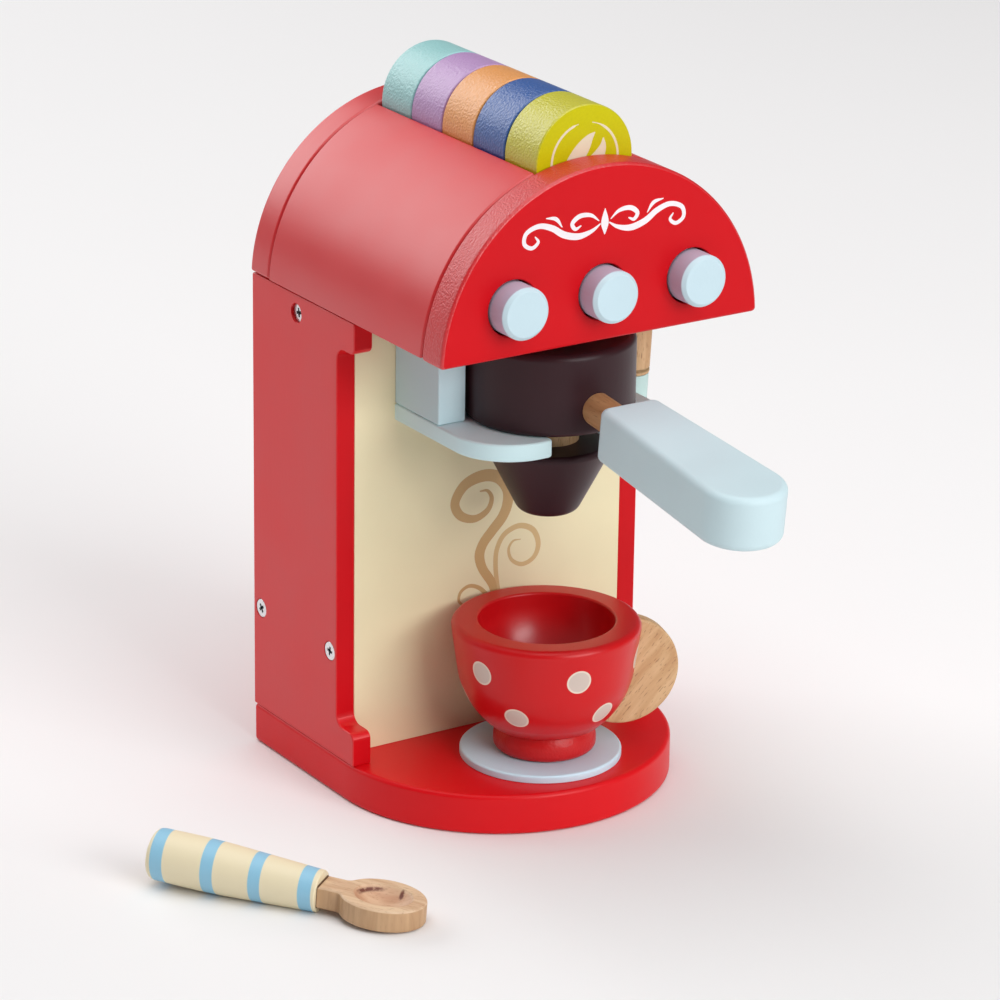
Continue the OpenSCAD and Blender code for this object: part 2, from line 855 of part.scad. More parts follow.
module handle_grip() {
  near_r = grip_corner;
  far_r = grip_far_w / 2;
  color(pale_blue)
    at_handle()
      translate([dowel_bare, 0, 0])
        difference() {
          hull() {
            translate([near_r, near_r - grip_near_w / 2, 0])
              grip_post(near_r);
            translate([near_r, grip_near_w / 2 - near_r, 0])
              grip_post(near_r);
            translate([grip_l - far_r, 0, 0])
              grip_post(far_r);
          }
          translate([-past, 0, 0])
            rotate([0, 90, 0])
              cylinder(d = dowel_d + 2 * grip_glue, h = dowel_in + past + glue);
        }
}

// ---- pods ----

// A turned pod, counted from the front of the trough.
module pod(number) {
  y = cover_front_y + pod_gap + (number - 1) * (pod_t + pod_gap);
  color(pod_colours[number - 1])
    translate([0, y, pod_z])
      rotate([-90, 0, 0])
        rotate_extrude()
          shape([[0, 0, 0], [pod_r, 0, pod_edge], [pod_r, pod_t, pod_edge], [0, pod_t, 0]]);
}

module pod_1() { pod(1); }
module pod_2() { pod(2); }
module pod_3() { pod(3); }
module pod_4() { pod(4); }
module pod_5() { pod(5); }

// ---- cup ----

module cup_disc() {
  color(pale_blue)
    translate([disc_x, -disc_y, base_t])
      rotate_extrude()
        shape([[0, 0, 0], [disc_r, 0, disc_foot], [disc_r, disc_t, disc_edge], [0, disc_t, 0]]);
}

// Half of the cup's outer section: a narrowing foot under a round bowl, whose wall leaves the round
// at the tangent from the rim.
module cup_section() {
  r = cup_d / 2;
  rise = cup_h - bowl_z;
  from = asin((foot_h - bowl_z) / bowl_r);
  leave = atan2(rise, r) - acos(bowl_r / norm([r, rise]));
  steps = ceil(smooth / 4);
  wall = [for (i = [0:steps]) let (a = from + (leave - from) * i / steps)
    [bowl_r * cos(a), bowl_z + bowl_r * sin(a), 0]];
  shape(concat([[0, 0, 0], [foot_d / 2, 0, foot_edge], [cup_neck_d / 2, foot_h, 0]], wall,
               [[r, cup_h, cup_rim], [0, cup_h, 0]]));
}

// Half of the cup's hollow: a round bottom that runs into straight sides.
module hollow_section() {
  r = hollow_d / 2;
  round_z = cup_h - hollow_depth + r;
  intersection() {
    union() {
      translate([0, round_z])
        circle(r);
      translate([0, round_z])
        square([r, cup_h]);
    }
    square([cup_d, 2 * cup_h]);
  }
}

// The two dowels that cross from the bowl's wall into the handle disc, along +X.
module ear_dowel_rods(radius, length) {
  for (lift = ear_dowel_lifts)
    translate([sqrt(pow(bowl_r, 2) - pow(ear_z + lift - bowl_z, 2)), 0, ear_z + lift])
      rotate([0, 90, 0])
        cylinder(r = radius, h = length, center = true);
}

module at_cup() {
  translate([cup_axis[0], cup_axis[1], cup_z])
    rotate([0, 0, -ear_turn])
      children();
}

module cup_bowl() {
  color(red)
    at_cup()
      difference() {
        rotate_extrude()
          difference() {
            cup_section();
            hollow_section();
          }
        ear_dowel_rods(ear_dowel_d / 2 + glue, ear_dowel_l + 2 * glue);
      }
}

// The handle disc, its inner edge cut to the bowl's outline and upright beside the foot.
module cup_handle() {
  color(beech)
    at_cup()
      difference() {
        intersection() {
          translate([ear_x, -ear_t / 2, ear_z])
            rotate([-90, 0, 0])
              rotate_extrude()
                shape([[0, 0, 0], [ear_r, 0, ear_edge], [ear_r, ear_t, ear_edge], [0, ear_t, 0]]);
          translate([0, -ear_t, 0])
            along_y(2 * ear_t)
              difference() {
                translate([foot_d / 2 + glue, 0])
                  square([2 * ear_r + ear_x, 2 * cup_h]);
                translate([glue, 0])
                  cup_section();
              }
        }
        ear_dowel_rods(ear_dowel_d / 2 + glue, ear_dowel_l + 2 * glue);
      }
}

module cup_dowels() {
  color(beech)
    at_cup()
      ear_dowel_rods(ear_dowel_d / 2, ear_dowel_l);
}

// ---- spoon ----

// Moves to the spoon's far end and turns its axis to +X. The handle's belly and the head's tip are on
// the floor, which leans the axis.
module at_spoon() {
  translate([-spoon_x, -spoon_y, spoon_d / 2])
    rotate([0, 0, -spoon_turn])
      translate([belly_x, 0, 0])
        rotate([0, spoon_lean, 0])
          translate([-belly_x, 0, 0])
            children();
}

module spoon_handle() {
  color(cream)
    at_spoon()
      rotate([0, 90, 0])
        difference() {
          rotate_extrude()
            shape([[0, 0, 0], [spoon_end_d / 2, 0, spoon_end_edge], [spoon_d / 2, belly_x, belly_r],
                   [spoon_neck_d / 2, spoon_l, spoon_neck_edge], [0, spoon_l, 0]]);
          translate([0, 0, spoon_l - spoon_tenon_l - glue])
            cylinder(d = spoon_tenon + 2 * glue, h = spoon_tenon_l + past);
        }
}

// The oval end of the head with its neck, the corners between them rounded.
module head_outline() {
  neck_w = head_neck_w / 2;
  join = 180 - asin(neck_w / oval_wide);
  join_x = oval_x + oval_long * cos(join);
  reach = join - neck_clear;
  steps = ceil(smooth / 2);
  oval = [for (i = [0:steps]) let (a = reach * (2 * i / steps - 1))
    [oval_x + oval_long * cos(a), oval_wide * sin(a), 0]];
  shape(concat([[2 * glue, -neck_w, 0], [join_x, -neck_w, head_fillet]], oval,
               [[join_x, neck_w, head_fillet], [2 * glue, neck_w, 0]]));
}

// The tool that cut the hollow: a turned form, longer along X than across, its lowest point at the origin.
module scoop() {
  translate([0, 0, scoop_long_r])
    rotate([90, 0, 0])
      rotate_extrude()
        intersection() {
          translate([scoop_long_r - scoop_r, 0])
            circle(scoop_r);
          translate([0, -scoop_r])
            square([scoop_long_r, 2 * scoop_r]);
        }
}

// The beech head: a flat board with a tenon in the handle and a hollow in its oval end.
module spoon_head() {
  color(beech)
    at_spoon()
      translate([spoon_l, 0, 0])
        difference() {
          union() {
            translate([-spoon_tenon_l, 0, 0])
              rotate([0, 90, 0])
                cylinder(d = spoon_tenon, h = spoon_tenon_l + past);
            translate([0, 0, -head_t / 2])
              linear_extrude(head_t)
                head_outline();
          }
          translate([scoop_x, 0, head_t / 2 - scoop_depth])
            scoop();
        }
}

// ---- screws ----

module side_screws() {
  color(steel)
    at_side_screws()
      screw(screw_l);
}

module base_screws() {
  color(steel)
    for (at = base_screw_at)
      translate([at[0], at[1], sink])
        screw(screw_l);
}

module head_screws() {
  color(steel)
    for (at = head_screw_at)
      translate([at[0], at[1], top_board_z + sink])
        screw(short_screw_l);
}

base_board();
side_panel_left();
side_panel_right();
front_panel();
back_panel();
top_board();
head_floor();
head_cover_left();
head_cover_right();
head_front_plate();
head_rear_plate();
pod_trough();
spring_board();
button_left();
button_middle();
button_right();
stem_left();
stem_middle();
stem_right();
spring_left();
spring_middle();
spring_right();
fork_shelf();
shelf_block();
wand_sleeve();
wand_nozzle();
filter_drum();
filter_neck();
filter_cone();
handle_dowel();
handle_grip();
pod_1();
pod_2();
pod_3();
pod_4();
pod_5();
cup_disc();
cup_bowl();
cup_handle();
cup_dowels();
spoon_handle();
spoon_head();
side_screws();
base_screws();
head_screws();
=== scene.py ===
import math
import bpy
import bmesh
from mathutils import Matrix, Vector


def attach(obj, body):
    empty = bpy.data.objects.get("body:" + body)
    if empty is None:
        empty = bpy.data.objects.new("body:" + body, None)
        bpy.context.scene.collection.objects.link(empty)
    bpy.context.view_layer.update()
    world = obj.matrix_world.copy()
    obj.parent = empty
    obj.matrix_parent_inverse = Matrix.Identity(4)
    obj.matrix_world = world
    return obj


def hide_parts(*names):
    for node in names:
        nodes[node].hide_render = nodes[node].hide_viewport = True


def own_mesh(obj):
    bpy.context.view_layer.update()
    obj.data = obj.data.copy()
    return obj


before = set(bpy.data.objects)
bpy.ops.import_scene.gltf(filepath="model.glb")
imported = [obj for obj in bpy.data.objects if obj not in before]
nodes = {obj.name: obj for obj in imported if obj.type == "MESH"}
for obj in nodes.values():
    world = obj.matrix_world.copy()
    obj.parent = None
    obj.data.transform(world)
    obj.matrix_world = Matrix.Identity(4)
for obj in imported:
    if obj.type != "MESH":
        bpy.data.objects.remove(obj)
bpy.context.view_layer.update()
scene = bpy.context.scene
MM = 0.001

# ---- Studio ----
# A pale floor under soft light: a wide box overhead, two in front and one at the rear.
# The camera stands in front of the toy's left corner and looks slightly down.


def aimed(place, target):
    """The turn that makes a lamp at place look at target."""
    return (Vector(target) - Vector(place)).to_track_quat("-Z", "Y")


def softbox(name, place, target, width, height, watts):
    """A soft area lamp at place, turned to target. Lengths are in metres."""
    data = bpy.data.lights.new(name, "AREA")
    data.shape = "RECTANGLE"
    data.size = width
    data.size_y = height
    data.energy = watts
    lamp = bpy.data.objects.new(name, data)
    lamp.location = place
    lamp.rotation_mode = "QUATERNION"
    lamp.rotation_quaternion = aimed(place, target)
    scene.collection.objects.link(lamp)


def look_from(place, azimuth, elevation, roll, lens):
    """A camera at place that looks down by elevation, turned by azimuth from straight ahead, in degrees."""
    a, e, r = (math.radians(v) for v in (azimuth, elevation, roll))
    ahead = Vector((math.sin(a) * math.cos(e), math.cos(a) * math.cos(e), -math.sin(e)))
    right = Vector((math.cos(a), -math.sin(a), 0))
    up = right.cross(ahead)
    x = right * math.cos(r) + up * math.sin(r)
    y = up * math.cos(r) - right * math.sin(r)
    data = bpy.data.cameras.new("camera")
    data.lens = lens
    data.sensor_width = 36
    data.clip_end = 50
    cam = bpy.data.objects.new("camera", data)
    cam.matrix_world = Matrix((
        (x.x, y.x, -ahead.x, place[0]),
        (x.y, y.y, -ahead.y, place[1]),
        (x.z, y.z, -ahead.z, place[2]),
        (0, 0, 0, 1)))
    scene.collection.objects.link(cam)
    scene.camera = cam


look_from((-0.7860, -1.2102, 0.6277), 33.033, 20.226, 0.821, 165.04)
softbox("overhead", (-0.1, 0.0, 2.4), (-0.05, 0, 0), 2.6, 2.2, 34)
softbox("front", (0.45, -2.3, 0.95), (0, 0, 0.1), 1.5, 0.9, 29)
softbox("high_front", (0.35, -1.8, 1.9), (0, 0, 0.1), 1.6, 1.0, 11.5)
softbox("rear", (-0.8, 2.6, 1.4), (0, 0, 0.2), 3.0, 1.5, 40)
world = bpy.data.worlds.new("studio")
scene.world = world
world.use_nodes = True
world.node_tree.nodes["Background"].inputs["Color"].default_value = (0.96, 0.95, 0.96, 1)
world.node_tree.nodes["Background"].inputs["Strength"].default_value = 0.20
scene.view_settings.view_transform = "Standard"
scene.view_settings.look = "None"


def put(tree, kind, inputs=None, **settings):
    """Adds a node, with its settings, and its inputs as values or links."""
    node = tree.nodes.new(kind)
    for key, value in settings.items():
        setattr(node, key, value)
    for key, value in (inputs or {}).items():
        if isinstance(value, bpy.types.NodeSocket):
            tree.links.new(value, node.inputs[key])
        else:
            node.inputs[key].default_value = value
    return node


def span(tree, value, a, b, c=0.0, d=1.0, smooth=False):
    """Maps value from a..b to c..d."""
    kind = "SMOOTHSTEP" if smooth else "LINEAR"
    limits = {"Value": value, "From Min": a, "From Max": b, "To Min": c, "To Max": d}
    return put(tree, "ShaderNodeMapRange", limits, interpolation_type=kind).outputs["Result"]


def mix_inputs(tree, share, a, b):
    """Colour a where share is 0 and b where it is 1. The sockets are those of the node's colour mode."""
    return put(tree, "ShaderNodeMix", {0: share, 6: a, 7: b}, data_type="RGBA").outputs[2]


def new_material(name):
    material = bpy.data.materials.new(name)
    material.use_nodes = True
    tree = material.node_tree
    return material, tree, tree.nodes["Principled BSDF"]


floor_material, tree, shader = new_material("pale_floor")
blot = put(tree, "ShaderNodeTexNoise", {"Vector": put(tree, "ShaderNodeTexCoord").outputs["Object"], "Scale": 3.0})
blotted = mix_inputs(tree, blot.outputs["Fac"], (0.915, 0.905, 0.905, 1), (0.935, 0.925, 0.925, 1))
view_direction = (0.545, 0.84, 0)
away = put(tree, "ShaderNodeVectorMath", {0: put(tree, "ShaderNodeTexCoord").outputs["Object"], 1: view_direction},
           operation="DOT_PRODUCT").outputs["Value"]
# The floor's colour darkens towards the camera: painted shade on the near floor.
near_shade_colour = (0.85, 0.845, 0.845, 1)
tree.links.new(mix_inputs(tree, span(tree, away, -0.15, 0.08, smooth=True), near_shade_colour, blotted),
               shader.inputs["Base Color"])
shader.inputs["Roughness"].default_value = 0.7
shader.inputs["Specular IOR Level"].default_value = 0.2
bm = bmesh.new()
bmesh.ops.create_grid(bm, x_segments=8, y_segments=8, size=6)
mesh = bpy.data.meshes.new("floor")
bm.to_mesh(mesh)
bm.free()
floor = bpy.data.objects.new("floor", mesh)
mesh.materials.append(floor_material)
scene.collection.objects.link(floor)

# ---- Cabinet ----
# Painted boards: the base with its round front, two side panels with corbel and toe, the cream
# front panel and the back panel, all screwed and glued edge to edge.

# Sizes from here on are in millimetres, and piece() makes them metres.
HALF_W = 60
BASE_T = 14
SIDE_T = 7
INNER_X = HALF_W - SIDE_T
PANEL_Y = 5
PANEL_T = 7
BACK_Y = 60
PLATE_T = 12
HEAD_Z = 170
HEAD_GAP = 0.7
TOE_Y, TOE_Z, CORBEL_Z = -6, 25.5, 158.5
SCREW_HOLE_R = 3.35


def linear(r, g, b):
    """Display colour from 0 to 255 as a linear colour."""
    return tuple((c / 255 / 12.92) if c < 11 else ((c / 255 + 0.055) / 1.055) ** 2.4 for c in (r, g, b)) + (1,)


def calc(tree, operation, *values):
    return put(tree, "ShaderNodeMath", dict(enumerate(values)), operation=operation).outputs[0]


def new_group(name, inputs, outputs):
    """A node group with the given (name, socket kind) lists, and its two end nodes."""
    tree = bpy.data.node_groups.new(name, "ShaderNodeTree")
    for label, kind in inputs:
        tree.interface.new_socket(label, in_out="INPUT", socket_type=kind)
    for label, kind in outputs:
        tree.interface.new_socket(label, in_out="OUTPUT", socket_type=kind)
    return tree, tree.nodes.new("NodeGroupInput"), tree.nodes.new("NodeGroupOutput")


# The skin of satin paint, which lets a little of the wood's grain through. Every finish reads object
# coordinates, so it stays put as its piece moves.
tree, given, result = new_group("paint_skin", [("Vector", "NodeSocketVector"), ("Along", "NodeSocketVector")],
                                [("Tone", "NodeSocketFloat"), ("Height", "NodeSocketFloat")])
tone = put(tree, "ShaderNodeTexNoise", {"Vector": given.outputs["Vector"], "Scale": 32.0, "Detail": 3.0})
peel = put(tree, "ShaderNodeTexNoise", {"Vector": given.outputs["Vector"], "Scale": 1100.0, "Detail": 2.0})
stretched = put(tree, "ShaderNodeVectorMath", {0: given.outputs["Vector"], 1: given.outputs["Along"]},
                operation="MULTIPLY")
lines = put(tree, "ShaderNodeTexNoise", {"Vector": stretched.outputs[0], "Scale": 900.0, "Detail": 3.0})
height = calc(tree, "MULTIPLY_ADD", lines.outputs["Fac"], 0.55, calc(tree, "MULTIPLY", peel.outputs["Fac"], 0.45))
tree.links.new(tone.outputs["Fac"], result.inputs["Tone"])
tree.links.new(height, result.inputs["Height"])
paint_skin = tree


def shade(colour, factor):
    """The colour made darker or lighter by a factor."""
    return tuple(min(1, c * factor) for c in colour[:3]) + (1,)


def painted(name, colour, along=(0.08, 1, 1), rough=0.36, bump=0.22, gloss=0.5, decorate=None, coarse=0):
    """Satin paint. along squeezes the coordinates along the grain, decorate(tree, colour) may change the
    colour, such as with dots or bands, and coarse is the depth of the pores where end grain shows through."""
    material, tree, shader = new_material(name)
    coords = put(tree, "ShaderNodeTexCoord").outputs["Object"]
    skin = put(tree, "ShaderNodeGroup", {"Vector": coords, "Along": along}, node_tree=paint_skin)
    base = mix_inputs(tree, skin.outputs["Tone"], shade(colour, 0.93), shade(colour, 1.05))
    if decorate:
        base = decorate(tree, base)
    tree.links.new(base, shader.inputs["Base Color"])
    tree.links.new(span(tree, skin.outputs["Tone"], 0.3, 0.7, rough - 0.04, rough + 0.05),
                   shader.inputs["Roughness"])
    shader.inputs["Specular IOR Level"].default_value = gloss
    height = skin.outputs["Height"]
    if coarse:
        pores = put(tree, "ShaderNodeTexNoise", {"Vector": coords, "Scale": 1300.0, "Detail": 2.0})
        height = calc(tree, "MULTIPLY_ADD", pores.outputs["Fac"], coarse, height)
    lump = put(tree, "ShaderNodeBump", {"Height": height, "Strength": bump, "Distance": 0.00012})
    tree.links.new(lump.outputs["Normal"], shader.inputs["Normal"])
    return material


RED = linear(222, 10, 22)
red = painted("red_paint", RED, along=(1, 0.08, 1), gloss=0.25)
red_upright = painted("red_paint_upright", RED, along=(1, 1, 0.08), gloss=0.52)
# A darker copy of the red with less gloss, for faces that look forward; its darker colour is painted shade.
shaded_red_face = painted("red_paint_shaded_face", linear(205, 10, 22), along=(0.08, 1, 1), gloss=0.15)
cream = painted("cream_paint", linear(239, 229, 189), along=(1, 1, 0.08), rough=0.45)
tan = painted("tan_print", linear(203, 168, 114), along=(1, 1, 0.08), rough=0.5)
# A lighter copy of the tan print for the small curl on the right: painted light.
lit_tan = painted("lit_tan_print", linear(214, 185, 132), along=(1, 1, 0.08), rough=0.5)


def rounded(corners, closed=True):
    """Points of an outline from (x, y, radius) corners, each radius drawn as an arc."""
    points = []
    count = len(corners)
    for i, (x, y, r) in enumerate(corners):
        if r <= 0 or (not closed and i in (0, count - 1)):
            points.append((x, y))
            continue
        b = Vector((x, y))
        a = Vector(corners[i - 1][:2])
        c = Vector(corners[(i + 1) % count][:2])
        u, v = (a - b).normalized(), (c - b).normalized()
        half = u.angle(v) / 2
        centre = b + (u + v).normalized() * r / math.sin(half)
        p, q = b + u * r / math.tan(half) - centre, b + v * r / math.tan(half) - centre
        start = math.atan2(p.y, p.x)
        sweep = (math.atan2(q.y, q.x) - start + math.pi) % (2 * math.pi) - math.pi
        steps = max(5, math.ceil(abs(sweep) * max(r, 2) / 0.9))
        points += [(centre.x + r * math.cos(a), centre.y + r * math.sin(a))
                   for a in (start + sweep * k / steps for k in range(steps + 1))]
    kept = [points[0]]
    for p in points[1:]:
        if math.dist(p, kept[-1]) > 1e-4:
            kept.append(p)
    if closed and math.dist(kept[0], kept[-1]) < 1e-4:
        kept.pop()
    return kept


def arc(cx, cy, r, start, end, steps=48):
    """Points of an arc, angles in degrees."""
    return [(cx + r * math.cos(math.radians(start + (end - start) * k / steps)),
             cy + r * math.sin(math.radians(start + (end - start) * k / steps))) for k in range(steps + 1)]


def circle(cx, cy, r, steps=64, hole=False):
    return (arc(cx, cy, r, 360, 0, steps) if hole else arc(cx, cy, r, 0, 360, steps))[:-1]


def inset(points, distance):
    """The outline moved to its left, which is into the board."""
    moved = []
    for i, (x, y) in enumerate(points):
        ax, ay = points[i - 1]
        cx, cy = points[(i + 1) % len(points)]
        la, lc = math.dist((ax, ay), (x, y)), math.dist((x, y), (cx, cy))
        n1, n2 = ((ay - y) / la, (x - ax) / la), ((y - cy) / lc, (cx - x) / lc)
        scale = distance / max(0.3, 1 + n1[0] * n2[0] + n1[1] * n2[1])
        moved.append((x + (n1[0] + n2[0]) * scale, y + (n1[1] + n2[1]) * scale))
    return moved


def bridge(bm, low, high):
    """Closes the band between two rings of as many points."""
    for i in range(len(low)):
        j = (i + 1) % len(low)
        bm.faces.new((low[i], low[j], high[j], high[i]))


def fill(bm, loops):
    """Closes the flat area between the first loop and any others inside it."""
    if len(loops) == 1:
        bm.faces.new(loops[0])
        return
    edges = [bm.edges.get((loop[i - 1], loop[i])) or bm.edges.new((loop[i - 1], loop[i]))
             for loop in loops for i in range(len(loop))]
    bmesh.ops.triangle_fill(bm, use_beauty=True, use_dissolve=False, edges=edges)


def board(bm, outlines, depth, matrix, rims, open_top=False, steps=4):
    """A board along local Z from an outer outline and its clockwise holes, whose rims are rolled by the
    radii in rims. Returns the loops of its top, which open_top leaves open."""
    ends = ([], [])
    for points, rim in zip(outlines, rims):
        rings = []
        for top in (False, True):
            for k in (range(steps, -1, -1) if top else range(steps + 1)):
                t = math.radians(90 * k / steps)
                ring = inset(points, rim * (1 - math.sin(t)))
                z = rim * (1 - math.cos(t))
                z = depth - z if top else z
                rings.append([bm.verts.new(matrix @ Vector((x, y, z))) for x, y in ring])
        for low, high in zip(rings, rings[1:]):
            bridge(bm, low, high)
        ends[0].append(rings[0])
        ends[1].append(rings[-1])
    fill(bm, ends[0])
    if not open_top:
        fill(bm, ends[1])
    return ends[1]


PRINT_TOP, PRINT_FOOT, THINNEST = 0.035, -0.015, 0.12


def stroke(bm, knots, matrix, steps=9):
    """A printed line through (x, y, width) knots on a smooth curve, a twentieth of a millimetre thick."""
    before_first = tuple(2 * a - b for a, b in zip(knots[0], knots[1]))
    after_last = tuple(2 * a - b for a, b in zip(knots[-1], knots[-2]))
    run = [before_first, *knots, after_last]
    points = []
    for p, q, r, s in zip(run, run[1:], run[2:], run[3:]):
        for t in (k / steps for k in range(steps)):
            points.append(tuple(0.5 * (2 * b + (c - a) * t + (2 * a - 5 * b + 4 * c - d) * t * t
                                       + (3 * b - a - 3 * c + d) * t ** 3) for a, b, c, d in zip(p, q, r, s)))
    points.append(knots[-1])
    rings = []
    for i, (x, y, width) in enumerate(points):
        before, after = points[max(i - 1, 0)], points[min(i + 1, len(points) - 1)]
        across = Vector((before[1] - after[1], after[0] - before[0], 0)).normalized() * max(width, THINNEST) / 2
        middle = Vector((x, y, 0))
        section = ((across, PRINT_TOP), (-across, PRINT_TOP), (-across, PRINT_FOOT), (across, PRINT_FOOT))
        rings.append([bm.verts.new(matrix @ (middle + side + Vector((0, 0, z)))) for side, z in section])
    for low, high in zip(rings, rings[1:]):
        bridge(bm, low, high)
    bm.faces.new(rings[0])
    bm.faces.new(rings[-1])


def piece(name, bm, material, body, stands_for=(), sharp=40):
    """Makes the object from millimetres, smooth but for its sharp edges, and fixes it to its body."""
    bmesh.ops.recalc_face_normals(bm, faces=bm.faces[:])
    for v in bm.verts:
        v.co *= MM
    mesh = bpy.data.meshes.new(name)
    bm.to_mesh(mesh)
    bm.free()
    mesh.polygons.foreach_set("use_smooth", [True] * len(mesh.polygons))
    mesh.set_sharp_from_angle(angle=math.radians(sharp))
    mesh.materials.append(material)
    made = bpy.data.objects.new(name, mesh)
    scene.collection.objects.link(made)
    weigh = made.modifiers.new("even_shading", "WEIGHTED_NORMAL")
    weigh.keep_sharp = True
    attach(made, body)
    if stands_for:
        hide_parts(*stands_for)
    return made


def repaint(made, material, test):
    """Gives a further material to the faces that pass the test."""
    made.data.materials.append(material)
    for face in made.data.polygons:
        if test(face):
            face.material_index = len(made.data.materials) - 1


def at(x, y, z):
    return Matrix.Translation((x, y, z))


# Turns that stand a flat outline up: one facing forward and one facing right.
UPRIGHT = Matrix(((1, 0, 0, 0), (0, 0, -1, 0), (0, 1, 0, 0), (0, 0, 0, 1)))
SIDEWAYS = Matrix(((0, 0, 1, 0), (1, 0, 0, 0), (0, 1, 0, 0), (0, 0, 0, 1)))

bm = bmesh.new()
outline = (arc(0, 0, HALF_W, 180, 360, 128)
           + rounded([(HALF_W, BACK_Y, 1.4), (-HALF_W, BACK_Y, 1.4), (-HALF_W, 0, 0), (HALF_W, 0, 0)])[:-2])
board(bm, [outline], BASE_T, at(0, 0, 0), [1.6], steps=6)
piece("base", bm, red, "cabinet", ["base_board"])

# The side screws as (y, z, depth under the side's face).
screw_places = [(55, 50.5, 0.1), (9.5, 50.5, 0.1), (31, 163, 1.0)]
side_top = HEAD_Z - HEAD_GAP
for side, name in ((-1, "left"), (1, "right")):
    bm = bmesh.new()
    outline = rounded([(TOE_Y, BASE_T, 0.6), (BACK_Y, BASE_T, 0.6), (BACK_Y, side_top, 0.6),
                       (TOE_Y, side_top, 0.6), (TOE_Y, CORBEL_Z, 2.6), (PANEL_Y, CORBEL_Z, 4),
                       (PANEL_Y, TOE_Z, 4), (TOE_Y, TOE_Z, 2.6)])
    holes = [circle(y, z, SCREW_HOLE_R, 40, hole=True) for y, z, _ in screw_places]
    board(bm, [outline] + holes, SIDE_T, at(-HALF_W if side < 0 else INNER_X, 0, 0) @ SIDEWAYS, [0.5] + [0.1] * 3)
    panel = piece("side_" + name, bm, red_upright, "cabinet", ["side_panel_" + name])
    # The side panels' forward faces take that darker red: painted shade.
    repaint(panel, shaded_red_face, lambda face: face.normal.y < -0.9)

inner_outline = rounded([(-INNER_X, BASE_T, 0), (INNER_X, BASE_T, 0), (INNER_X, HEAD_Z, 0), (-INNER_X, HEAD_Z, 0)])
bm = bmesh.new()
board(bm, [inner_outline], PANEL_T, at(0, PANEL_Y + PANEL_T, 0) @ UPRIGHT, [0.3])
piece("front_board", bm, cream, "cabinet", ["front_panel"])

steam = at(0, PANEL_Y, 0) @ UPRIGHT
under = steam @ at(0, 0, -0.01)
bm = bmesh.new()
stroke(bm, [(2.6, 58, 2.2), (1.4, 64, 3.2), (-2.4, 70, 3.4), (-3.8, 75, 3.9), (-2.4, 79.2, 3.9),
            (1.2, 83.2, 4.0), (5.2, 87.4, 4.1), (7.2, 92, 4.2), (7.0, 97.2, 4.1), (3.2, 102, 4.2),
            (-3, 103.6, 4.3), (-10, 101.6, 4.0), (-13.8, 96, 3.6), (-11.6, 91, 3.2), (-6, 88.8, 2.7),
            (-0.9, 90.8, 2.2), (0.8, 94.8, 1.7), (-0.9, 97.9, 1.1), (-4, 98.3, 0.4)], steam)
piece("steam_curl", bm, tan, "cabinet")
bm = bmesh.new()
stroke(bm, [(5.0, 57, 1.4), (3.4, 64, 1.7), (2.7, 71, 1.8), (3.3, 76.4, 1.9), (6.2, 81, 2.0), (12, 82.9, 2.0),
            (17.6, 80.4, 2.0), (19.9, 75, 2.0), (18.2, 70.4, 1.8), (13.6, 68.7, 1.6), (9.3, 71, 1.3),
            (7.9, 75, 1.1), (9.6, 77.8, 0.8), (12.8, 77.9, 0.3)], under)
# The small curl takes the lighter copy of the tan: painted light.
piece("small_curl", bm, lit_tan, "cabinet")
bm = bmesh.new()
stroke(bm, [(0.6, 59, 1.6), (-3.6, 63.3, 1.5), (-7.8, 64.9, 1.3), (-11.2, 63.3, 1.2), (-11.8, 60.2, 1.0),
            (-9.6, 58.4, 0.7), (-7.6, 59.6, 0.3)], under)
piece("low_curl", bm, tan, "cabinet")

bm = bmesh.new()
board(bm, [inner_outline], PLATE_T, at(0, BACK_Y, 0) @ UPRIGHT, [0.5])
piece("back_board", bm, red_upright, "cabinet", ["back_panel"])

# ---- Side screws ----
# Cross-recess heads in zinc, two pairs sunk flush and the upper pair in its counterbores.
# Each head is a dished disc with a cross cut through to the shank.

SCREW_R = 3.22
SCREW_HEAD_T = 0.9


def zinc(name, dark=(0.62, 0.63, 0.65, 1), light=(0.86, 0.87, 0.88, 1)):
    material, tree, shader = new_material(name)
    coords = put(tree, "ShaderNodeTexCoord").outputs["Object"]
    haze = put(tree, "ShaderNodeTexNoise", {"Vector": coords, "Scale": 1500.0, "Detail": 3.0})
    tree.links.new(mix_inputs(tree, haze.outputs["Fac"], dark, light), shader.inputs["Base Color"])
    shader.inputs["Metallic"].default_value = 1
    tree.links.new(span(tree, haze.outputs["Fac"], 0.3, 0.7, 0.22, 0.38), shader.inputs["Roughness"])
    return material


def turned(bm, profile, matrix, sides=128):
    """A turned piece about local Z from (radius, height) points."""
    line = [bm.verts.new(matrix @ Vector((r, 0, z))) for r, z in profile]
    edges = [bm.edges.new(pair) for pair in zip(line, line[1:])]
    bmesh.ops.spin(bm, geom=line + edges, cent=matrix.translation, axis=matrix.col[2].xyz, angle=2 * math.pi,
                   steps=sides, use_merge=True)
    bmesh.ops.remove_doubles(bm, verts=bm.verts[:], dist=1e-3)


steel = zinc("zinc")

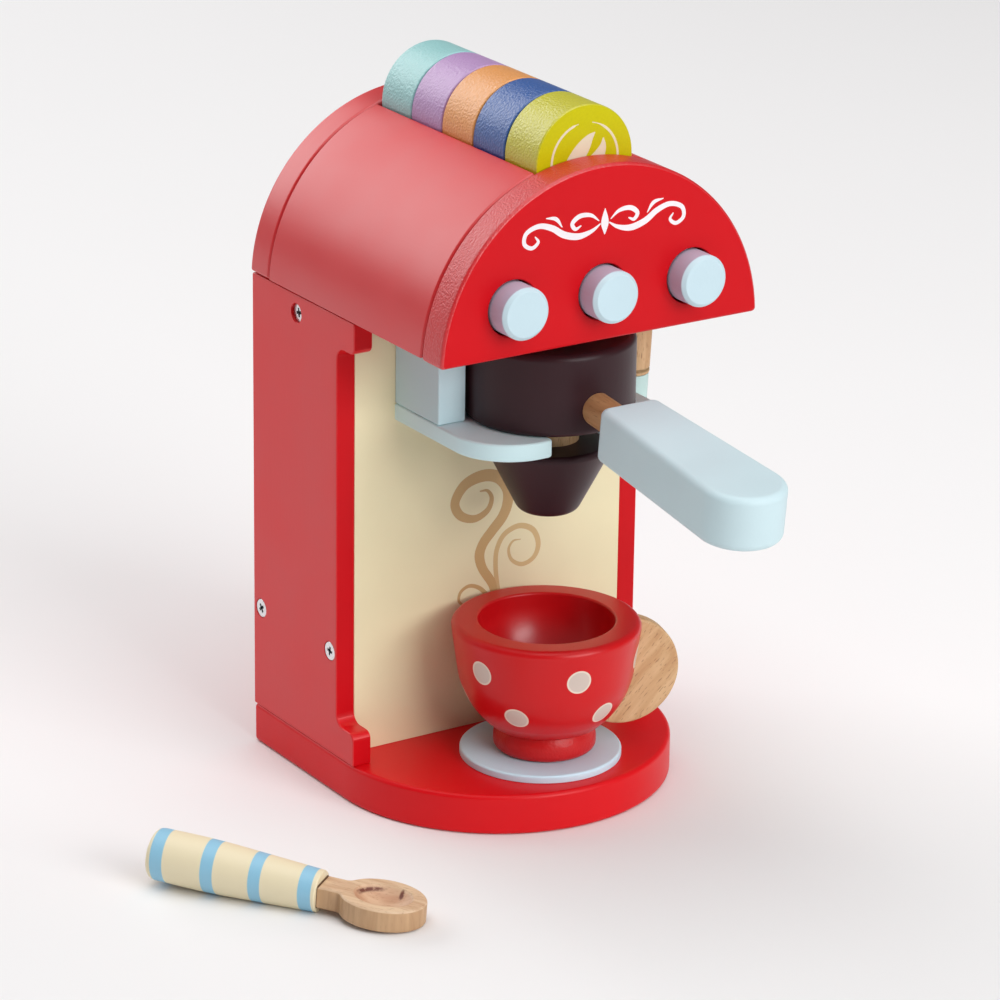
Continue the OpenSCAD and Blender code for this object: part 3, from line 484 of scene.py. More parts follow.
bm = bmesh.new()
cross = [(0.5, -1.6), (-0.5, -1.6), (-0.5, -0.5), (-1.6, -0.5), (-1.6, 0.5), (-0.5, 0.5), (-0.5, 1.6),
         (0.5, 1.6), (0.5, 0.5), (1.6, 0.5), (1.6, -0.5), (0.5, -0.5)]
shanks = bmesh.new()
for side in (-1, 1):
    facing = SIDEWAYS if side > 0 else SIDEWAYS @ Matrix.Rotation(math.pi, 4, "X")
    for y, z, depth in screw_places:
        spin = Matrix.Rotation(math.radians(20 * side + y), 4, "Z")
        lay = at(side * (HALF_W - depth), y, z) @ facing
        board(bm, [circle(0, 0, SCREW_R, 40), cross], SCREW_HEAD_T, lay @ spin @ at(0, 0, -SCREW_HEAD_T),
              [0.25, 0.12], steps=3)
        turned(shanks, [(0, -23), (0.4, -22.6), (1.6, -20), (1.6, -2.4), (3.1, -0.95), (0, -0.95)], lay, 24)
piece("screws_in_sides", bm, steel, "cabinet", ["side_screws"], sharp=30)
# The shank shows only at the foot of each cross recess; its near black zinc is painted shade in the recess.
recess_shade_zinc = zinc("recess_shade_zinc", (0.10, 0.10, 0.11, 1), (0.18, 0.18, 0.19, 1))
piece("screw_shanks", shanks, recess_shade_zinc, "cabinet")

# ---- Head ----
# The arched head of painted board: a front plate with three button holes, a rear plate and, beside the
# pods, the cover in two halves. Their rolled rims leave the fine grooves between them, and screws from
# inside hold the head on the cabinet.

ARCH_Z = 167
ARCH_R = 60.8
COVER_IN_R = 54.8
FLOOR_TOP = 174
FRONT_Y = -60
POD_SLOT_X = 18.7
BUTTON_Z = 185.7
BUTTON_XS = (-34.1, 0, 34.1)
BUTTON_HOLE_R = 9.3
RIM_FROM_R = 59.4
red_satin = painted("red_paint_satin", linear(212, 13, 24), along=(1, 0.08, 1), gloss=1.0)
red_rim = painted("red_paint_rim", linear(206, 12, 24), along=(1, 1, 1), gloss=1.0, bump=0.6, coarse=4.0)


def arch_x(radius, z):
    """Half width of a half round of the head at a height."""
    return math.sqrt(radius ** 2 - (z - ARCH_Z) ** 2)


def arch_outline(bottom, rim):
    """The head's half round above the bottom line, its curve starting clear of the two rounded corners."""
    x = arch_x(ARCH_R, bottom)
    start = math.degrees(math.atan2(bottom - ARCH_Z, x)) + 2.2
    curve = arc(0, ARCH_Z, ARCH_R, start, 180 - start, 160)
    return rounded([(-x, bottom, rim), (x, bottom, rim)] + [(px, pz, 0) for px, pz in curve])


bm = bmesh.new()
holes = [circle(x, BUTTON_Z, BUTTON_HOLE_R, 72, hole=True) for x in BUTTON_XS]
board(bm, [arch_outline(HEAD_Z - HEAD_GAP, 1.4)] + holes, PLATE_T, at(0, FRONT_Y + PLATE_T, 0) @ UPRIGHT,
      [1.3, 0.5, 0.5, 0.5], steps=5)
front = piece("head_front", bm, shaded_red_face, "cabinet", ["head_front_plate"])
repaint(front, red_rim, lambda face: face.normal.y > -0.9 and math.dist(
    (face.center.x, face.center.z), (0, ARCH_Z * MM)) > RIM_FROM_R * MM)

print_white = painted("white_print", linear(240, 232, 236), along=(1, 1, 1), rough=0.45)
bm = bmesh.new()
for side in (-1, 1):
    flourish = at(0, FRONT_Y, 0) @ UPRIGHT @ Matrix.Scale(side, 4, (1, 0, 0))
    stroke(bm, [(1.6, 208.6, 0.4), (5, 206.6, 1.3), (10, 205.6, 2.1), (15.5, 207, 2.2), (20, 209.8, 2.0),
                (25, 211.2, 1.7), (29.6, 209.6, 1.5), (30.4, 206.2, 1.4), (27.6, 204.4, 1.3), (25.2, 206, 1.1),
                (26.4, 208, 0.4)], flourish)
    stroke(bm, [(2.2, 209.6, 0.3), (5.4, 211.9, 1.2), (9.6, 212.2, 1.6), (12.4, 210.2, 1.5), (11.2, 208.2, 1.2),
                (9, 209, 0.4)], flourish)
    stroke(bm, [(16.2, 209.6, 0.3), (18.6, 212.6, 1.3), (22.4, 213.4, 0.3)], flourish)
stroke(bm, [(0, 204.8, 0.2), (0, 206.4, 1.6), (0, 208.4, 2.8), (0, 210.6, 2.2), (0, 213.4, 0.2)],
       at(0, FRONT_Y, 0) @ UPRIGHT)
piece("head_print", bm, print_white, "cabinet")

bm = bmesh.new()
board(bm, [arch_outline(HEAD_Z, 1.0)], PLATE_T, at(0, BACK_Y, 0) @ UPRIGHT, [1.2], steps=5)
piece("head_rear", bm, red_satin, "cabinet", ["head_rear_plate"])

outer_curve = arc(0, ARCH_Z, ARCH_R, math.degrees(math.asin((HEAD_Z - ARCH_Z) / ARCH_R)) + 0.5,
                  math.degrees(math.acos(POD_SLOT_X / ARCH_R)) - 1.0, 90)
inner_curve = arc(0, ARCH_Z, COVER_IN_R, math.degrees(math.acos(POD_SLOT_X / COVER_IN_R)),
                  math.degrees(math.asin((FLOOR_TOP - ARCH_Z) / COVER_IN_R)), 60)
half_cover = rounded([(arch_x(ARCH_R, HEAD_Z), HEAD_Z, 0.3)] + [(x, z, 0) for x, z in outer_curve]
                     + [(POD_SLOT_X, ARCH_Z + math.sqrt(ARCH_R ** 2 - POD_SLOT_X ** 2), 0.7)]
                     + [(x, z, 0) for x, z in inner_curve] + [(arch_x(COVER_IN_R, FLOOR_TOP), HEAD_Z, 0)])
cover_back, cover_front = BACK_Y - PLATE_T, FRONT_Y + PLATE_T
for side, name in ((-1, "left"), (1, "right")):
    outline = [(-x, z) for x, z in reversed(half_cover)] if side < 0 else half_cover
    bm = bmesh.new()
    board(bm, [outline], cover_back - cover_front, at(0, cover_back, 0) @ UPRIGHT, [1.0], steps=5)
    piece("cover_" + name, bm, red_satin, "cabinet", ["head_cover_" + name])

# ---- Push buttons ----
# Turned knobs in pale blue with a chamfered face and a collar behind the plate, on beech stems.
# In the toy each coil spring shortens between its collar and the board as the button goes in; here each is built
# at its rest length, on a mesh of its own.

KNOB_Y = -68.1
KNOB_R = 8.7
KNOB_L = 20.2
KNOB_SOCKET = 11.2
COLLAR_R = 11.2
COLLAR_T = 3
STEM_R = 3
STEM_L = 35
SPRING_Y = -44.9
SPRING_L = 15
COIL_R = 4.6
WIRE_R = 0.6
COIL_TURNS, COIL_STEPS, WIRE_SIDES = 5, 40, 10

# The figure of beech: streaks along the grain, with dark flecks.
tree, given, result = new_group("beech_figure", [("Vector", "NodeSocketVector")],
                                [("Streak", "NodeSocketFloat"), ("Fleck", "NodeSocketFloat"),
                                 ("Height", "NodeSocketFloat")])
wobble = put(tree, "ShaderNodeTexNoise", {"Vector": given.outputs["Vector"], "Scale": 40.0, "Detail": 1.0})
bent = put(tree, "ShaderNodeVectorMath", {0: wobble.outputs["Color"], 1: (0.004, 0.004, 0.004),
                                          2: given.outputs["Vector"]}, operation="MULTIPLY_ADD")
long_grain = put(tree, "ShaderNodeVectorMath", {0: bent.outputs[0], 1: (0.07, 1.0, 1.0)}, operation="MULTIPLY")
streak = put(tree, "ShaderNodeTexNoise", {"Vector": long_grain.outputs[0], "Scale": 330.0, "Detail": 4.0})
fleck_space = put(tree, "ShaderNodeVectorMath", {0: bent.outputs[0], 1: (0.14, 1.0, 1.0)}, operation="MULTIPLY")
fleck = put(tree, "ShaderNodeTexNoise", {"Vector": fleck_space.outputs[0], "Scale": 2400.0, "Detail": 1.0})
tree.links.new(span(tree, streak.outputs["Fac"], 0.35, 0.65), result.inputs["Streak"])
tree.links.new(span(tree, fleck.outputs["Fac"], 0.60, 0.72, smooth=True), result.inputs["Fleck"])
tree.links.new(calc(tree, "SUBTRACT", streak.outputs["Fac"], calc(tree, "MULTIPLY", fleck.outputs["Fac"], 0.5)),
               result.inputs["Height"])
beech_figure = tree


def object_space(tree, centre=(0, 0, 0), turn=(0, 0, 0)):
    """Object coordinates from centre, then turned about X, Y and Z in degrees."""
    coords = put(tree, "ShaderNodeTexCoord").outputs["Object"]
    moved = put(tree, "ShaderNodeVectorMath", {0: coords, 1: tuple(c * MM for c in centre)}, operation="SUBTRACT")
    rotation = tuple(math.radians(t) for t in turn)
    return put(tree, "ShaderNodeMapping", {"Vector": moved.outputs[0], "Rotation": rotation},
               vector_type="POINT").outputs[0]


def bare_beech(name, centre=(0, 0, 0), turn=(0, 0, 0), light=(219, 183, 138), dark=(196, 152, 106),
               decorate=None, pores=0.7):
    """Beech whose grain runs along X once the coordinates are turned. decorate(tree, colour) may change
    the colour, and pores is the strength of the dark flecks."""
    material, tree, shader = new_material(name)
    figure = put(tree, "ShaderNodeGroup", {"Vector": object_space(tree, centre, turn)}, node_tree=beech_figure)
    base = mix_inputs(tree, figure.outputs["Streak"], linear(*dark), linear(*light))
    base = mix_inputs(tree, calc(tree, "MULTIPLY", figure.outputs["Fleck"], pores), base, linear(148, 102, 66))
    if decorate:
        base = decorate(tree, base)
    tree.links.new(base, shader.inputs["Base Color"])
    tree.links.new(span(tree, figure.outputs["Streak"], 0, 1, 0.58, 0.48), shader.inputs["Roughness"])
    lump = put(tree, "ShaderNodeBump", {"Height": figure.outputs["Height"], "Strength": 0.3, "Distance": 0.00015})
    tree.links.new(lump.outputs["Normal"], shader.inputs["Normal"])
    return material


def barrel_painted_reflection(tree, base):
    """The knob's barrel painted a duller lavender than its face: a painted reflection of the red around it."""
    y = put(tree, "ShaderNodeSeparateXYZ", {0: object_space(tree)}).outputs["Y"]
    return mix_inputs(tree, span(tree, y, -67.2 * MM, -66.4 * MM, smooth=True), base, linear(190, 190, 212))


def coil(bm, matrix):
    """A round wire wound about local Z."""
    ring = [bm.verts.new(matrix @ Vector((COIL_R + WIRE_R * math.cos(b), 0, WIRE_R + WIRE_R * math.sin(b))))
            for b in (2 * math.pi * s / WIRE_SIDES for s in range(WIRE_SIDES))]
    edges = [bm.edges.new((ring[i - 1], ring[i])) for i in range(WIRE_SIDES)]
    axis = matrix.col[2].xyz
    steps = COIL_TURNS * COIL_STEPS
    bmesh.ops.spin(bm, geom=ring + edges, cent=matrix.translation, axis=axis, angle=2 * math.pi * COIL_TURNS,
                   dvec=axis * (SPRING_L - 2 * WIRE_R) / steps, steps=steps)
    bmesh.ops.holes_fill(bm, edges=bm.edges[:], sides=WIRE_SIDES)


# Lays a turned piece down, its height running to the rear.
TO_REAR = Matrix(((1, 0, 0, 0), (0, 0, 1, 0), (0, -1, 0, 0), (0, 0, 0, 1)))
beech = bare_beech("beech", turn=(0, 0, 90))
PALE_BLUE = linear(197, 220, 229)
knob_paint = painted("knob_paint", PALE_BLUE, along=(1, 0.08, 1), rough=0.5, bump=0.35, decorate=barrel_painted_reflection)
for x, name in zip(BUTTON_XS, ("left", "middle", "right")):
    bm = bmesh.new()
    turned(bm, rounded([(0, 0, 0), (7.5, 0, 0.5), (KNOB_R, 1.2, 0.5), (KNOB_R, KNOB_L, 0), (COLLAR_R, KNOB_L, 0.3),
                        (COLLAR_R, KNOB_L + COLLAR_T, 0.3), (STEM_R + 0.05, KNOB_L + COLLAR_T, 0),
                        (STEM_R + 0.05, KNOB_SOCKET, 0), (0, KNOB_SOCKET, 0)], closed=False),
           at(x, KNOB_Y, BUTTON_Z) @ TO_REAR, 96)
    piece("knob_" + name, bm, knob_paint, "button_" + name, ["button_" + name])
    bm = bmesh.new()
    turned(bm, rounded([(0, 0, 0), (STEM_R, 0, 0.3), (STEM_R, STEM_L, 0.8), (0, STEM_L, 0)], closed=False),
           at(x, KNOB_Y + KNOB_SOCKET, BUTTON_Z) @ TO_REAR, 48)
    piece("guide_" + name, bm, beech, "button_" + name, ["stem_" + name])
    bm = bmesh.new()
    coil(bm, at(x, SPRING_Y, BUTTON_Z) @ TO_REAR)
    spring = piece("coil_" + name, bm, steel, "button_" + name, ["spring_" + name])
    spring.modifiers.clear()
    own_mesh(spring)

# ---- Fork shelf and block ----
# A pale blue board with a slot for the filter's neck, let into the cream panel, and the block that
# stands on its left prong up to the head. Fine gaps are left under and behind the block.

FORK_X = 37.6
FORK_Y = -52
FORK_Z = 129.5
FORK_T = 6
TONGUE_Y = 8.8
SLOT_R = 12.4
SLOT_Y = -25.5
BLOCK_X = -27.2
BLOCK_Y = -22

bm = bmesh.new()
outline = (rounded([(-FORK_X, TONGUE_Y, 0), (-FORK_X, FORK_Y, 20), (-SLOT_R, FORK_Y, 2), (-SLOT_R, SLOT_Y, 0)],
                   closed=False)
           + arc(0, SLOT_Y, SLOT_R, 180, 0, 48)[1:-1]
           + rounded([(SLOT_R, SLOT_Y, 0), (SLOT_R, FORK_Y, 2), (FORK_X, FORK_Y, 20), (FORK_X, TONGUE_Y, 0)],
                     closed=False))
board(bm, [outline], FORK_T, at(0, 0, FORK_Z), [0.8])
shelf_paint = painted("shelf_paint", linear(211, 239, 243), along=(1, 0.08, 1), rough=0.5)
piece("fork", bm, shelf_paint, "cabinet", ["fork_shelf"])

block_back = PANEL_Y - 0.3
block_z = FORK_Z + FORK_T + 0.2
bm = bmesh.new()
outline = rounded([(-FORK_X, BLOCK_Y, 0.6), (BLOCK_X, BLOCK_Y, 0.6), (BLOCK_X, block_back, 0),
                   (-FORK_X, block_back, 0)])
board(bm, [outline], HEAD_Z - block_z, at(0, 0, block_z), [0.4])
block_paint = painted("block_paint", linear(194, 222, 229), along=(1, 1, 0.08), rough=0.5)
piece("block", bm, block_paint, "cabinet", ["shelf_block"])

# ---- Steam wand ----
# A tapered beech sleeve with a turned groove near its end, held in the head's floor by a tenon, and
# below it a pale blue nozzle with a tenon in the sleeve.

WAND = (45.4, -11.3, 137)
SLEEVE_L = 33
NOZZLE_L = 25
WAND_TENON_R = 3


def groove_painted_shade(tree, base):
    """The turned groove painted darker: painted shade in the recess."""
    z = put(tree, "ShaderNodeSeparateXYZ", {0: object_space(tree, (0, 0, WAND[2]))}).outputs["Z"]
    mask = calc(tree, "MULTIPLY", span(tree, z, 0.9 * MM, 1.3 * MM, smooth=True),
                span(tree, z, 2.6 * MM, 2.2 * MM, smooth=True))
    return mix_inputs(tree, mask, base, linear(160, 132, 92))


bm = bmesh.new()
turned(bm, rounded([(0, 0, 0), (3.2, 0, 0), (6.0, 0, 0.8), (6.05, 1.5, 0.2), (5.65, 1.9, 0.15), (6.1, 2.3, 0.2),
                    (7.5, 32.4, 0.4), (7.2, SLEEVE_L, 0), (0, SLEEVE_L, 0)], closed=False), at(*WAND), 96)
beech_wand = bare_beech("beech_wand", centre=WAND, turn=(0, 90, 0), decorate=groove_painted_shade)
piece("wand", bm, beech_wand, "cabinet", ["wand_sleeve"])
bm = bmesh.new()
turned(bm, rounded([(0, 0, 0), (4.8, 0, 2.4), (5.8, NOZZLE_L, 0), (WAND_TENON_R, NOZZLE_L, 0),
                    (WAND_TENON_R, NOZZLE_L + 5, 0), (0, NOZZLE_L + 5, 0)], closed=False),
       at(WAND[0], WAND[1], WAND[2] - NOZZLE_L), 96)
nozzle_paint = painted("nozzle_paint", linear(196, 226, 222), along=(1, 1, 0.08), rough=0.5)
piece("nozzle", bm, nozzle_paint, "cabinet", ["wand_nozzle"])

# ---- Filter and its handle ----
# A dark brown drum and cone joined by a beech neck that hangs in the fork, with a beech dowel
# to the pale blue grip, a tapered board with deeply rolled edges.

NECK_X, NECK_Y = 2, -27.2
NECK_R = 10
NECK_L = 9.2
DRUM_R = 28.2
DRUM_H = 28
CONE_H = 25
DOWEL_R = 5.5
DOWEL_L = 43.3
DOWEL_IN = 13.9
DOWEL_Z = 8.8
HANDLE_DROOP = 6
GRIP_START = 15.6
GRIP_L = 78.4
GRIP_T = 18.4
GRIP_FAR_R = 14.3
GRIP_CORNER_R = 3.4
GRIP_CORNER_Y = 7.9

BROWN = linear(53, 29, 34)
brown = painted("dark_brown_paint", BROWN, along=(1, 1, 0.08), rough=0.36, gloss=0.22)

neck = at(NECK_X, NECK_Y, FORK_Z + FORK_T + 0.05)
bm = bmesh.new()
turned(bm, rounded([(0, 0, 0), (DRUM_R, 0, 2.4), (DRUM_R, DRUM_H, 2.4), (0, DRUM_H, 0)], closed=False), neck, 160)
piece("drum", bm, brown, "filter", ["filter_drum"])
bm = bmesh.new()
turned(bm, [(0, -NECK_L), (NECK_R, -NECK_L), (NECK_R, 0), (0, 0)], neck, 96)
beech_neck = bare_beech("beech_neck", centre=(NECK_X, NECK_Y, 130), turn=(0, 90, 0))
piece("neck", bm, beech_neck, "filter_neck", ["filter_neck"])
bm = bmesh.new()
turned(bm, rounded([(0, -NECK_L - CONE_H, 0), (9.7, -NECK_L - CONE_H, 4), (22.5, -NECK_L, 1.6), (0, -NECK_L, 0)],
                   closed=False), neck, 160)
piece("cone", bm, brown, "filter", ["filter_cone"])

handle = (neck @ Matrix.Rotation(math.radians(-90), 4, "Z") @ at(DRUM_R, 0, DOWEL_Z)
          @ Matrix.Rotation(math.radians(HANDLE_DROOP), 4, "Y"))
bm = bmesh.new()
turned(bm, rounded([(0, 0, 0), (DOWEL_R, 0, 0.5), (DOWEL_R, DOWEL_L, 0.5), (0, DOWEL_L, 0)], closed=False),
       handle @ at(-DOWEL_IN, 0, 0) @ Matrix.Rotation(math.pi / 2, 4, "Y"), 64)
beech_dowel = bare_beech("beech_dowel", centre=(2, -56, 144), turn=(0, 0, 90), light=(196, 150, 104),
                         dark=(170, 122, 80))
piece("dowel", bm, beech_dowel, "filter", ["handle_dowel"])

# The grip has a full round at its far end, two small corners at the dowel and straight flanks between.
far_x = GRIP_L - GRIP_FAR_R
tilt = math.degrees(math.asin((GRIP_FAR_R - GRIP_CORNER_R) / math.dist((GRIP_CORNER_R, GRIP_CORNER_Y), (far_x, 0)))
                    - math.atan2(GRIP_CORNER_Y, far_x - GRIP_CORNER_R))
outline = (arc(far_x, 0, GRIP_FAR_R, -90 - tilt, 90 + tilt, 72)
           + arc(GRIP_CORNER_R, GRIP_CORNER_Y, GRIP_CORNER_R, 90 + tilt, 180, 14)
           + arc(GRIP_CORNER_R, -GRIP_CORNER_Y, GRIP_CORNER_R, 180, 270 - tilt, 14))
bm = bmesh.new()
board(bm, [outline], GRIP_T, handle @ at(GRIP_START, 0, -GRIP_T / 2), [2.4], steps=8)
grip_paint = painted("pale_blue_grip", linear(202, 225, 231), along=(1, 0.08, 1), rough=0.5)
piece("grip", bm, grip_paint, "filter", ["handle_grip"])

# ---- Pods ----
# Five turned and painted wooden discs that lie loose in the trough, side by side.
# Their rims carry a pebbled coat and their flat faces a smooth one.

POD_R = 18.4
POD_T = 18.7
POD_PITCH = 18.8
POD_Y = -47.9
POD_Z = 226


def pod_paint(name, colour, gloss):
    """Paint that is pebbled on a pod's rim; gloss sets its specular level and its thin coat."""
    material, tree, shader = new_material(name)
    coords = put(tree, "ShaderNodeTexCoord").outputs["Object"]
    local = put(tree, "ShaderNodeVectorMath", {0: coords, 1: (0, 0, POD_Z * MM)}, operation="SUBTRACT").outputs[0]
    parts = put(tree, "ShaderNodeSeparateXYZ", {0: local})
    reach = calc(tree, "SQRT", calc(tree, "ADD", calc(tree, "POWER", parts.outputs["X"], 2.0),
                                    calc(tree, "POWER", parts.outputs["Z"], 2.0)))
    rim = span(tree, reach, 17.6 * MM, 18.2 * MM, smooth=True)
    skin = put(tree, "ShaderNodeGroup", {"Vector": coords, "Along": (1, 0.1, 1)}, node_tree=paint_skin)
    pebbles = put(tree, "ShaderNodeTexNoise", {"Vector": coords, "Scale": 1250.0, "Detail": 1.5, "Roughness": 0.4})
    tone = calc(tree, "MULTIPLY_ADD", pebbles.outputs["Fac"], 0.5,
                calc(tree, "MULTIPLY", skin.outputs["Tone"], 0.5))
    tree.links.new(mix_inputs(tree, tone, shade(colour, 0.86), shade(colour, 1.10)), shader.inputs["Base Color"])
    shader.inputs["Roughness"].default_value = 0.38
    shader.inputs["Specular IOR Level"].default_value = gloss
    shader.inputs["Coat Weight"].default_value = gloss * 0.4
    shader.inputs["Coat Roughness"].default_value = 0.4
    height = calc(tree, "MULTIPLY_ADD", calc(tree, "MULTIPLY", pebbles.outputs["Fac"], 3.0), rim,
                  calc(tree, "MULTIPLY", skin.outputs["Height"], 0.4))
    lump = put(tree, "ShaderNodeBump", {"Height": height, "Strength": 0.6, "Distance": 0.0002})
    tree.links.new(lump.outputs["Normal"], shader.inputs["Normal"])
    return material


pods = (("lime", (200, 194, 4)), ("royal_blue", (6, 80, 158)), ("orange", (234, 156, 76)),
        ("lilac", (184, 142, 196)), ("aqua", (152, 208, 208)))
for number, (name, colour) in enumerate(pods, 1):
    bm = bmesh.new()
    turned(bm, rounded([(0, 0, 0), (POD_R, 0, 0.8), (POD_R, POD_T, 0.8), (0, POD_T, 0)], closed=False),
           at(0, POD_Y + (number - 1) * POD_PITCH, POD_Z) @ TO_REAR, 160)
    body = "pod_" + str(number)
    disc = piece("pod_disc_" + str(number), bm, pod_paint("pod_" + name, linear(*colour), 1.0), body, [body])
    repaint(disc, pod_paint("pod_face_" + name, linear(*colour), 0.12), lambda face: abs(face.normal.y) > 0.8)

bm = bmesh.new()
emblem = at(0, POD_Y, POD_Z) @ UPRIGHT
ring_r, ring_steps = 12.6, 20
for start, end in ((-150, 78), (102, 190)):
    widths = [0.3] * 2 + [0.8] * (ring_steps - 3) + [0.3] * 2
    stroke(bm, [(x, y, width) for (x, y), width in zip(arc(0, 0, ring_r, start, end, ring_steps), widths)],
           emblem, 3)
for side in (-1, 1):
    lean = Matrix.Rotation(math.radians(-28), 4, "Z") @ Matrix.Rotation(math.pi * (side > 0), 4, "Z")
    stroke(bm, [(-3.0, -9.2, 0.3), (-4.2, -6.5, 2.6), (-4.2, -3.0, 4.6), (-3.3, 0.5, 5.6), (-2.6, 4.0, 4.9),
                (-1.9, 7.2, 2.8), (-0.9, 9.6, 0.3)], emblem @ lean)
cream_print = painted("cream_print", linear(229, 219, 190), rough=0.45)
piece("pod_print", bm, cream_print, "pod_1")

# ---- Cup and its disc ----
# A turned cup with a beaded foot and cream dots in two rows, a beech ear let against the bowl,
# and the thin pale blue disc that it stands on.

DISC_R = 27.3
DISC_T = 2.7
CUP_H = 45.8
CUP_RIM_R = 32.2
BOWL_R = 30
BOWL_Z = 32.8
BOWL_END_R, BOWL_END_Z = 29.69, 28.5
HOLLOW_R = 22.9
HOLLOW_Z = 41.7
EAR_TURN = -16
EAR_T = 6

cup_place = at(2.2, -27.5, BASE_T + DISC_T)


def wall_radius(z):
    """Outer radius of the bowl at a height above the foot: a round up to its tangent from the rim."""
    if z < BOWL_END_Z:
        return math.sqrt(BOWL_R ** 2 - (z - BOWL_Z) ** 2)
    return BOWL_END_R + (CUP_RIM_R - BOWL_END_R) * (z - BOWL_END_Z) / (CUP_H - BOWL_END_Z)


def dotted(tree, base):
    """Twelve printed dots, each a little paler along its edge."""
    coords = put(tree, "ShaderNodeTexCoord").outputs["Object"]
    nearest = 1.0
    for height, angles in ((34.4, (-167.5, -102.2, -42, 27, 82, 138)), (19.7, (-144, -78.2, -18, 42, 100, 158))):
        r = wall_radius(height)
        for a in (math.radians(angle) for angle in angles):
            spot = cup_place @ Vector((r * math.cos(a), r * math.sin(a), height)) * MM
            away = put(tree, "ShaderNodeVectorMath", {0: coords, 1: tuple(spot)}, operation="DISTANCE")
            nearest = calc(tree, "MINIMUM", away.outputs["Value"], nearest)
    tint = mix_inputs(tree, span(tree, nearest, 3.4 * MM, 3.9 * MM, smooth=True), linear(214, 197, 186),
                      linear(236, 221, 204))
    return mix_inputs(tree, span(tree, nearest, 4.32 * MM, 4.18 * MM, smooth=True), base, tint)


bm = bmesh.new()
foot = rounded([(0, 0, 0), (17.4, 0, 2.4), (17.3, 5.2, 9), (15.8, 9.1, 0.3), (16.4, 9.4, 0)], closed=False)
rim = rounded([(BOWL_END_R, BOWL_END_Z, 0), (CUP_RIM_R, CUP_H, 2.4), (HOLLOW_R, CUP_H, 0.9),
               (HOLLOW_R, HOLLOW_Z, 0)], closed=False)
turned(bm, foot + arc(0, BOWL_Z, BOWL_R, -51.26, -8.25, 40) + rim[1:-1]
       + arc(0, HOLLOW_Z, HOLLOW_R, 0, -90, 40)[:-1] + [(0, HOLLOW_Z - HOLLOW_R)], cup_place, 192)
red_dotted = painted("red_paint_dotted", linear(208, 11, 18), along=(1, 0.15, 1), rough=0.33, gloss=0.36,
                     decorate=dotted)
cup = piece("cup", bm, red_dotted, "cup", ["cup_bowl"])
red_hollow = painted("red_paint_hollow", linear(207, 8, 18), along=(1, 1, 1), rough=0.33, gloss=0.7)
red_foot = painted("red_paint_foot", linear(206, 9, 14), along=(1, 1, 1), rough=0.33, gloss=0.4, bump=0.5,
                   coarse=2.5)


def cup_point(face):
    """The middle of a face of the cup in millimetres from its foot."""
    return (face.center - cup_place.translation * MM) / MM


repaint(cup, red_hollow, lambda face: cup_point(face).xy.length < HOLLOW_R and 8.5 <= cup_point(face).z < 44.8)
repaint(cup, red_foot, lambda face: cup_point(face).z < 8.5)

bm = bmesh.new()
outline = arc(27.2, 24.8, 19, -119.8, 75.8, 90) + arc(0, BOWL_Z, BOWL_R + 0.05, -8.23, -51.2, 30)
ear_turn = Matrix.Rotation(math.radians(EAR_TURN), 4, "Z")
board(bm, [outline], EAR_T, cup_place @ ear_turn @ at(0, EAR_T / 2, 0) @ UPRIGHT, [0.9])
beech_ear = bare_beech("beech_ear", centre=(27, -35, 41), turn=(0, 52, -EAR_TURN))
piece("cup_ear", bm, beech_ear, "cup", ["cup_handle"])

bm = bmesh.new()
turned(bm, rounded([(0, 0, 0), (DISC_R, 0, 0.3), (DISC_R, DISC_T, 0.8), (0, DISC_T, 0)], closed=False),
       at(1.1, -26.8, BASE_T), 160)
saucer_paint = painted("saucer_paint", linear(210, 238, 255), rough=0.5)
piece("saucer", bm, saucer_paint, "cabinet", ["cup_disc"])

# ---- Spoon ----
# A turned handle in cream with light blue bands, and a beech head with a round hollow, glued in.
# It lies on the floor, tilted until the head's tip touches. So the handle's end at the head dips 0.7 mm
# below the floor.

SPOON = (-145.6, -23.7, 8.8)
SPOON_TURN = 52.3
SPOON_LEAN = 3.94
BELLY_X = 20
BELLY_R = 8.8
SPOON_L = 58.4
SPOON_NECK_R = 6.9
HEAD_T = 7.5
OVAL_X = 20.6
OVAL_LONG, OVAL_WIDE = 14.5, 11.5
HEAD_NECK_Y = 4.9
SCOOP_X = 20.8
SCOOP_DEEP = 4.2
SCOOP_ACROSS_R, SCOOP_LONG_R = 9.2, 13.6
SCOOP_FROM, SCOOP_TO, SCOOP_HALF_Y = 69.2, 89.0, 7.72

spoon_place = (at(*SPOON) @ Matrix.Rotation(math.radians(-SPOON_TURN), 4, "Z") @ at(BELLY_X, 0, 0)
               @ Matrix.Rotation(math.radians(SPOON_LEAN), 4, "Y") @ at(-BELLY_X, 0, 0))


def banded(tree, base):
    """Four printed bands across the handle."""
    x = put(tree, "ShaderNodeSeparateXYZ", {0: object_space(tree, SPOON, (0, 0, SPOON_TURN))}).outputs["X"]
    soft = 0.08
    masks = []
    for start, end in ((2.2, 6.5), (19.7, 23.9), (35.9, 39.9), (52.6, 57.0)):
        masks.append(calc(tree, "MULTIPLY", span(tree, x, (start - soft) * MM, (start + soft) * MM),
                          span(tree, x, (end + soft) * MM, (end - soft) * MM)))
    mask = calc(tree, "MAXIMUM", calc(tree, "MAXIMUM", masks[0], masks[1]),
                calc(tree, "MAXIMUM", masks[2], masks[3]))
    return mix_inputs(tree, mask, base, linear(143, 196, 222))


bm = bmesh.new()
turned(bm, rounded([(0, 0, 0), (8.5, 0, 2.6), (BELLY_R, BELLY_X, 300), (SPOON_NECK_R, SPOON_L, 0.6),
                    (0, SPOON_L, 0)], closed=False), spoon_place @ Matrix.Rotation(math.pi / 2, 4, "Y"), 96)
banded_paint = painted("banded_paint", linear(234, 221, 187), along=(0.2, 0.2, 1), rough=0.42, decorate=banded)
piece("spoon_grip", bm, banded_paint, "spoon", ["spoon_handle"])

